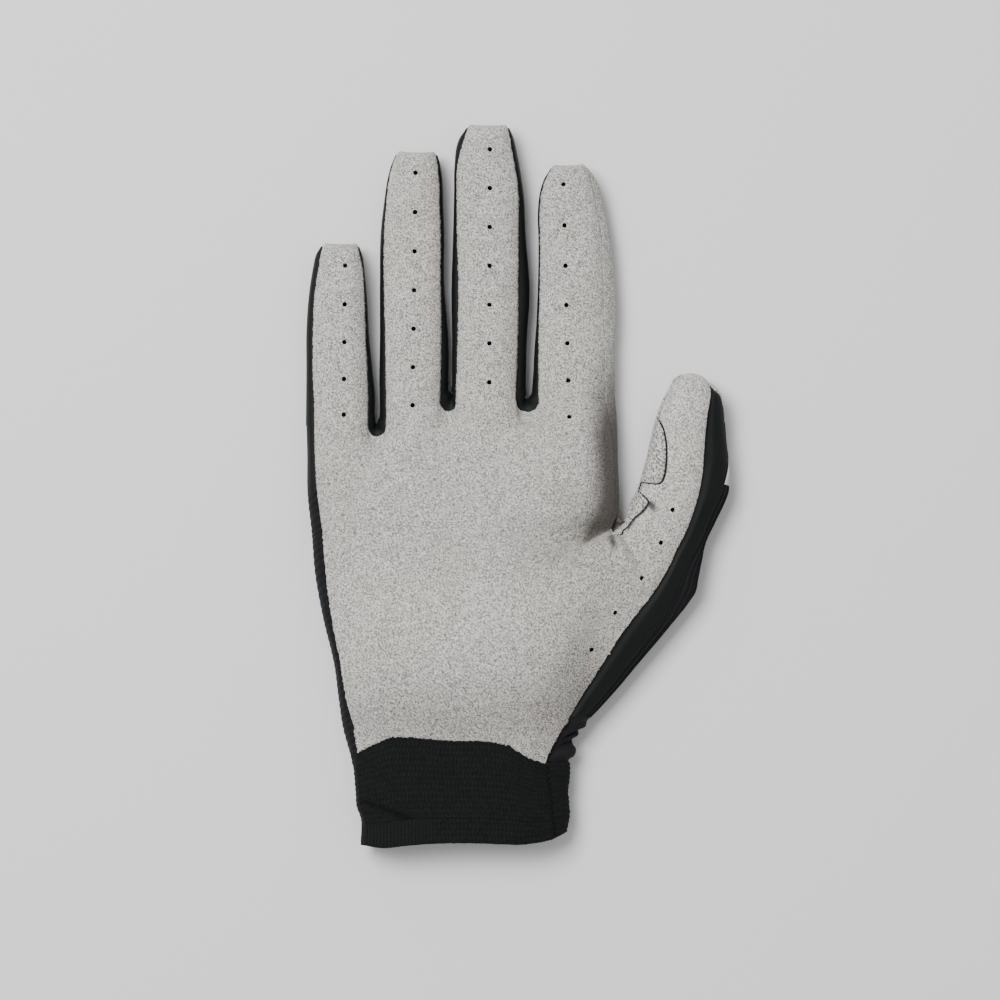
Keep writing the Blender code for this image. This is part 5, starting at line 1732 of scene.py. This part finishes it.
def build_web(form, finish):
    """The patch from the palm's winding cut round the thumb's web to the back seam. It takes in part
    of the thumb's front, so its first columns lie on that face."""
    thumb = FINGERS["thumb"]
    rows = form.side_rows(thumb)
    stations = form.finger_side(thumb, -1, rows)
    count = strip_count(form, stations)
    places, run, drop = strip_profile(form, count, front=False)
    drop = np.where(places > 0, 0.0, drop)
    lower = np.concatenate([form.index_edge[:1], form.web])
    strip = side_strip(np.concatenate([lower, stations]), places, run, drop)
    strip[..., 2] += form.palm_relief(strip) * np.clip(places, 0, 1)
    array = np.array(rows)
    cut = form.web_cut_across(thumb, array[:, 0])
    cut = -1 + (cut + 1) * (array[:, 1] >= 1)
    shares = np.linspace(1, 0, 15)[None]
    face = form.finger_face(thumb, rows, -1 + (cut[:, None] + 1) * shares)
    apart = easing(6 * (cut[:, None] + 1))
    across = cut[:, None] + 0.09 * apart * np.array([3, 2, 1])
    under = form.finger_face(thumb, rows, np.clip(across, -1, 1))
    under[..., 2] -= ALLOWANCE_SINK
    face = np.concatenate([under, face], axis=1)
    sink = np.concatenate([[1.5, 1.1, 0.6], 1.05 * easing((shares[0] - 0.35) / 0.65)])
    face[..., 2] += form.palm_relief(face) - sink * WEB_SINK * apart
    face[..., 2] += waves(face[..., 0], face[..., 1], WEB_WAVES)
    # Painted shade on the hand's side above the web's fold line, where it turns from the light; the strip
    # sinks there too.
    dark = np.zeros(strip.shape[:2])
    along, aside = form.crease_distance(strip[: len(lower)], WEB_FOLD)
    step = easing((aside + WEB_FOLD.width) / (2 * WEB_FOLD.width))
    dark[: len(lower)] = step * easing((1.25 - along) * 4)
    strip = raised(strip, -WEB_FOLD.depth * dark * easing((1 - places) / 0.2), True)
    low = strip[: len(lower), :1] + np.linspace(1, 0, face.shape[1])[:, None] * np.array(WEB_TUCK)
    face = np.concatenate([low, face])
    grid = np.concatenate([face, strip[:, 1:]], axis=1)
    # Painted shadow along the seam at the palm's cut and on the columns tucked under the palm.
    seam_shade = np.append([1, 1, 1], easing((shares[0] - 0.8) / 0.2)) * apart
    seam_shade = np.concatenate([np.zeros((len(lower), face.shape[1])), seam_shade])
    dark = np.concatenate([seam_shade, dark[:, 1:]], axis=1)
    sewn(form, "web_suede", "web_patch", finish, "web_suede", grid, flip=True, hollow=dark)


class GLOVE_OT_thumb_patch(bpy.types.Operator):
    """Builds the small plain patch on the thumb's back"""

    bl_idname = "glove.thumb_patch"
    bl_label = "Thumb patch"

    def execute(self, context):
        form = glove_form(context)
        thumb = FINGERS["thumb"]
        rows = np.array([(row, 1.0) for row in form.spaced(*PATCH_SPAN, thumb)])
        stations = form.finger_side(thumb, 1, rows)
        first = np.interp(rows[:, 0], PATCH_SPAN, PATCH_EDGE)[:, None]
        places = first + (-1 - first) * np.linspace(0, 1, 27)
        strip = raised(side_strip(stations, places), PATCH_LIFT, False)
        finish = patch_finish(context.scene.glove_colours)
        sewn(form, "thumb_patch", "thumb_back_patch", finish, "plain_patch", strip, PATCH_TRIM)
        return {"FINISHED"}


class GLOVE_OT_cuff(bpy.types.Operator):
    """Builds the knit cuff and its ribbed hem"""

    bl_idname = "glove.cuff"
    bl_label = "Knit cuff"

    def execute(self, context):
        form = glove_form(context)
        sizes = form.sizes
        finish = knit_finish(context.scene.glove_colours)
        fine = form.cloth.fine_cell
        hem_start = 1 - sizes.hem_height / sizes.cuff_length
        cuff = np.linspace(0, hem_start, round(sizes.cuff_length * hem_start / fine) + 1)
        hem = np.linspace(hem_start, 1, round(sizes.hem_height / fine) + 1)
        for name, node, levels, parts, add in (
            ("cuff_palm_knit", "cuff_palm", cuff, ("front",), add_knit),
            ("cuff_back_knit", "cuff_back", cuff, ("back", "left", "right"), add_knit),
            ("hem_knit", "cuff_hem", hem, ("front", "back", "left", "right"), add_ribs),
        ):
            sheet = Sheet(form, name, form.cloth.cloth_wall)
            for part in parts:
                add(form, sheet, cuff_face(form, levels, part), part in ("front", "right"))
            sheet.build(finish, "cuff_knit", (node,))
        return {"FINISHED"}


def cuff_face(form, levels, part):
    """One face of the cuff: the front and the back at even shares of the width, and a side as a strip
    from its front seam to its back seam."""
    fine = form.cloth.fine_cell
    if part in ("front", "back"):
        return form.cuff_grid(levels, part, round(form.sizes.cuff_width * 0.9 / fine))
    stations = form.cuff_grid(levels, part)
    count = round((stations[0, 4] - stations[0, 5]) * 1.4 / fine)
    return side_strip(stations, np.linspace(1, -1, count + 1))


def knit_hollow(form, u, v):
    """How deep the knit lies, from 0 to 1: bars across it, each a row of loops that sway from row to
    row."""
    pitch = form.cloth.knit_pitch
    sway = 0.25 * np.abs(2 * ((v / pitch / 2) % 1) - 1)
    loops = 0.5 + 0.5 * np.cos(2 * math.pi * (u / (0.72 * pitch) + 2 * sway))
    bars = 0.5 + 0.5 * np.cos(2 * math.pi * v / pitch)
    uneven = 0.8 + 0.4 * plan_noise(u + 0 * v, v + 0 * u, KNIT_CELL, 31)
    return np.clip(1 - uneven * (0.45 * loops + 0.55 * bars * (0.35 + 0.65 * loops)), 0, 1)


def tucked_rows(form, grid):
    """Rows that run on inside the glove, above the wrist seam: the first row drawn towards the
    wrist's middle line and moved up."""
    middle = np.array([0.0, 0.0, form.sizes.wrist_thickness / 2])
    half = np.array([form.sizes.cuff_width / 2, 1.0, form.sizes.wrist_thickness / 2])
    steps = np.linspace(1, 0, 5)[:-1, None, None]
    shrink = 1 - np.minimum(steps + 0.35, 1) * TUCK_DRAW / half * np.array([1, 0, 1])
    rows = middle + (grid[:1] - middle) * shrink
    rows[..., 1:2] += steps * TUCK_RISE
    return rows


def add_knit(form, sheet, grid, flip):
    """The knit's loops, sunk between them, with a slanting crease at the little finger's side."""
    u = run_along(grid[0])[None]
    v = run_along(grid[:, 0])[:, None]
    hollow = knit_hollow(form, u, v)
    along, aside = form.crease_distance(grid, CUFF_CREASE)
    fold = easing(5 * (along + 0.05)) * easing(2 * (1.1 - along)) * bell(aside, CUFF_CREASE.width)
    fold = fold * (grid[..., 2] > form.sizes.wrist_thickness / 2)
    knit = raised(grid, -form.cloth.knit_depth * hollow - CUFF_CREASE.depth * fold, flip)
    tucked = tucked_rows(form, knit)
    # Painted shade: the knit's depth and its crease, and full shade on the rows tucked inside the glove.
    hollow = np.concatenate([np.ones(tucked.shape[:2]), np.clip(hollow + fold, 0, 1)])
    sheet.add(np.concatenate([tucked, knit]), flip=flip, hollow=hollow)


def add_ribs(form, sheet, grid, flip):
    """The hem: fine upright ribs at the little finger's side, which pass into the cuff's knit."""
    u = run_along(grid[0])[None]
    v = run_along(grid[:, 0])[:, None]
    ribs = 0.5 + 0.5 * np.cos(2 * math.pi * u / HEM_RIB)
    wale = 0.5 + 0.5 * np.cos(2 * math.pi * v / HEM_ROW)
    across = grid[..., 0] / form.sizes.cuff_width
    share = easing((0.02 - across) / 0.22) * easing(v / HEM_ROW)
    knit = knit_hollow(form, u, v + form.sizes.cuff_length - form.sizes.hem_height)
    hollow = knit + (0.8 * (1 - ribs) + 0.2 * (1 - wale) - knit) * share
    lift = -form.cloth.knit_depth * hollow
    # The hem's depth is also its painted shade.
    sheet.add(raised(grid, lift, flip), flip=flip, hollow=hollow)


def stitch_row(form, name, path, finish, slot, gap=0.35, lift=0.0001):
    """A row of short rounded stitches along a path: each is a ring of points swept from end to end, its
    radius a half circle's height at both ends."""
    cloth = form.cloth
    run = run_along(path)
    pitch = cloth.stitch_length * (1 + gap)
    starts = np.arange(0, run[-1] - cloth.stitch_length, pitch)
    shares = np.array([0.0, 0.06, 0.25, 0.5, 0.75, 0.94, 1.0])
    radius = cloth.thread / 2 * np.array([0.02, 0.55, 0.92, 1.0, 0.92, 0.55, 0.02])
    at = starts[:, None] + shares[None] * cloth.stitch_length
    spine = np.stack([np.interp(at, run, path[:, axis]) for axis in range(3)], axis=-1)
    spine[..., 2] += lift + STITCH_ARCH * np.sin(math.pi * shares)
    forward = unit(np.gradient(spine, axis=1))
    aside = unit(np.cross(forward, [0.0, 0.0, 1.0]))
    above = np.cross(aside, forward)
    turn = np.linspace(0, 2 * math.pi, 7)[:-1]
    ring = np.cos(turn)[:, None] * aside[..., None, :] + np.sin(turn)[:, None] * above[..., None, :]
    points = spine[..., None, :] + radius[None, :, None, None] * ring
    stitches, rings, sides = points.shape[:3]
    index = np.arange(points[..., 0].size).reshape(stitches, rings, sides)
    after = np.roll(index, -1, axis=2)
    quads = np.stack([index[:, :-1], after[:, :-1], after[:, 1:], index[:, 1:]], axis=-1).reshape(-1, 4)
    caps = np.concatenate([index[:, 0, ::-1], index[:, -1]])
    mesh = bpy.data.meshes.new(name)
    mesh.from_pydata((points.reshape(-1, 3) - form.centre).tolist(), [], quads.tolist() + caps.tolist())
    with opened(mesh) as net:
        bmesh.ops.recalc_face_normals(net, faces=net.faces[:])
    return placed(mesh, finish, slot)


class GLOVE_OT_stitches(bpy.types.Operator):
    """Builds the rows of stitches beside the web, at the index fingertip and down the cuff"""

    bl_idname = "glove.stitches"
    bl_label = "Stitches"

    def execute(self, context):
        form = glove_form(context)
        colours = context.scene.glove_colours
        thread = thread_finish("web_thread", colours.web_thread)
        stitch_row(form, "web_stitches", web_path(form), thread, "web_suede", gap=-0.12, lift=-0.0002)
        index = FINGERS["index"]
        rows = [(row, 1.0) for row in np.linspace(0.80, 0.955, 30)]
        path = form.finger_face(index, rows, [[0.965]])[:, 0]
        thread = thread_finish("suede_thread", colours.suede_thread)
        stitch_row(form, "index_stitches", path, thread, "palm_suede", lift=-0.0001)
        levels = np.linspace(0.02, 0.98, 60)
        path = side_strip(form.cuff_grid(levels, "right"), [[0.97]])[:, 0]
        thread = thread_finish("cuff_thread", colours.cuff_thread)
        stitch_row(form, "cuff_stitches", path, thread, "cuff_knit")
        return {"FINISHED"}


def web_path(form):
    """Along the web's seam and then along the palm's winding cut on the thumb, just outside it."""
    thumb = FINGERS["thumb"]
    rows = np.linspace(0.03, 0.745, 600)
    cut = form.web_cut_across(thumb, rows)
    face = form.finger_face(thumb, [(row, 1.0) for row in rows], (cut - 0.045)[:, None])
    path = np.concatenate([form.web[len(form.web) // 2 :, [0, 1, 4]], face[:, 0]])
    near = bell(np.linalg.norm(path[:, :2] - form.web[-1, :2], axis=1), ROW_REACH)
    return path + near[:, None] * np.array(ROW_SHIFT)


class GLOVE_OT_stage(bpy.types.Operator):
    """Builds the plain floor, the soft lights and the camera"""

    bl_idname = "glove.stage"
    bl_label = "Stage"

    def execute(self, context):
        stage = context.scene.glove_stage
        build_floor(context)
        for name, place, width, power in LIGHTS:
            add_light(context, name, place, width, getattr(stage, power))
        world = context.scene.world or bpy.data.worlds.new("surround")
        context.scene.world = world
        world.use_nodes = True
        background = world.node_tree.nodes["Background"]
        background.inputs["Color"].default_value = (1.0, 1.0, 1.0, 1)
        background.inputs["Strength"].default_value = stage.surround
        camera = bpy.data.cameras.new("camera")
        camera.sensor_width = 36
        level = context.scene.glove_sizes.palm_thickness / 2
        camera.lens = camera.sensor_width * (stage.camera_height - level) / stage.view_width
        camera.clip_end = 50
        eye = bpy.data.objects.new("camera", camera)
        eye.location = (stage.view_across, stage.view_up, stage.camera_height)
        context.scene.collection.objects.link(eye)
        context.scene.camera = eye
        return {"FINISHED"}


def build_floor(context):
    """One flat square."""
    mesh = bpy.data.meshes.new("floor")
    corners = ((-1, -1), (1, -1), (1, 1), (-1, 1))
    mesh.from_pydata([(x * FLOOR_HALF, y * FLOOR_HALF, FLOOR_LEVEL) for x, y in corners], [], [(0, 1, 2, 3)])
    floor = bpy.data.objects.new("floor", mesh)
    context.scene.collection.objects.link(floor)
    finish = Finish("floor", roughness=0.9, specular_ior_level=0.2)
    finish.shader.inputs["Base Color"].default_value = (*context.scene.glove_colours.floor, 1)
    mesh.materials.append(finish.material)


def add_light(context, name, place, width, power):
    """A square soft light that points at the glove's middle."""
    lamp = bpy.data.lights.new(name, "AREA")
    lamp.size = width
    lamp.energy = power
    light = bpy.data.objects.new(name, lamp)
    context.scene.collection.objects.link(light)
    x, y, z = place
    light.location = place
    light.rotation_euler = (math.atan2(math.hypot(x, y), z), 0, math.atan2(y, x) + math.pi / 2)


class GLOVE_PT_panel(bpy.types.Panel):
    """Lists the glove's sizes, colours and operators"""

    bl_label = "Motocross glove"
    bl_idname = "GLOVE_PT_panel"
    bl_space_type = "VIEW_3D"
    bl_region_type = "UI"
    bl_category = "Glove"

    def draw(self, context):
        for operator in OPERATORS:
            self.layout.operator(operator.bl_idname)
        for name in ("glove_sizes", "glove_cloth", "glove_colours", "glove_stage"):
            box = self.layout.box()
            settings = getattr(context.scene, name)
            for field in settings.__annotations__:
                box.prop(settings, field)


SETTINGS = {
    "glove_sizes": GloveSizes,
    "glove_cloth": ClothSizes,
    "glove_colours": GloveColours,
    "glove_stage": StageSettings,
}
OPERATORS = (
    GLOVE_OT_palm,
    GLOVE_OT_back,
    GLOVE_OT_bands,
    GLOVE_OT_suede_sides,
    GLOVE_OT_thumb_patch,
    GLOVE_OT_cuff,
    GLOVE_OT_stitches,
    GLOVE_OT_stage,
)


def register():
    for kind in (*SETTINGS.values(), *OPERATORS, GLOVE_PT_panel):
        bpy.utils.register_class(kind)
    for name, kind in SETTINGS.items():
        setattr(bpy.types.Scene, name, bpy.props.PointerProperty(type=kind))


def unregister():
    for name in SETTINGS:
        delattr(bpy.types.Scene, name)
    for kind in (GLOVE_PT_panel, *reversed(OPERATORS), *SETTINGS.values()):
        bpy.utils.unregister_class(kind)


def main():
    register()
    for operator in OPERATORS:
        family, name = operator.bl_idname.split(".")
        getattr(getattr(bpy.ops, family), name)()


if __name__ == "__main__":
    main()
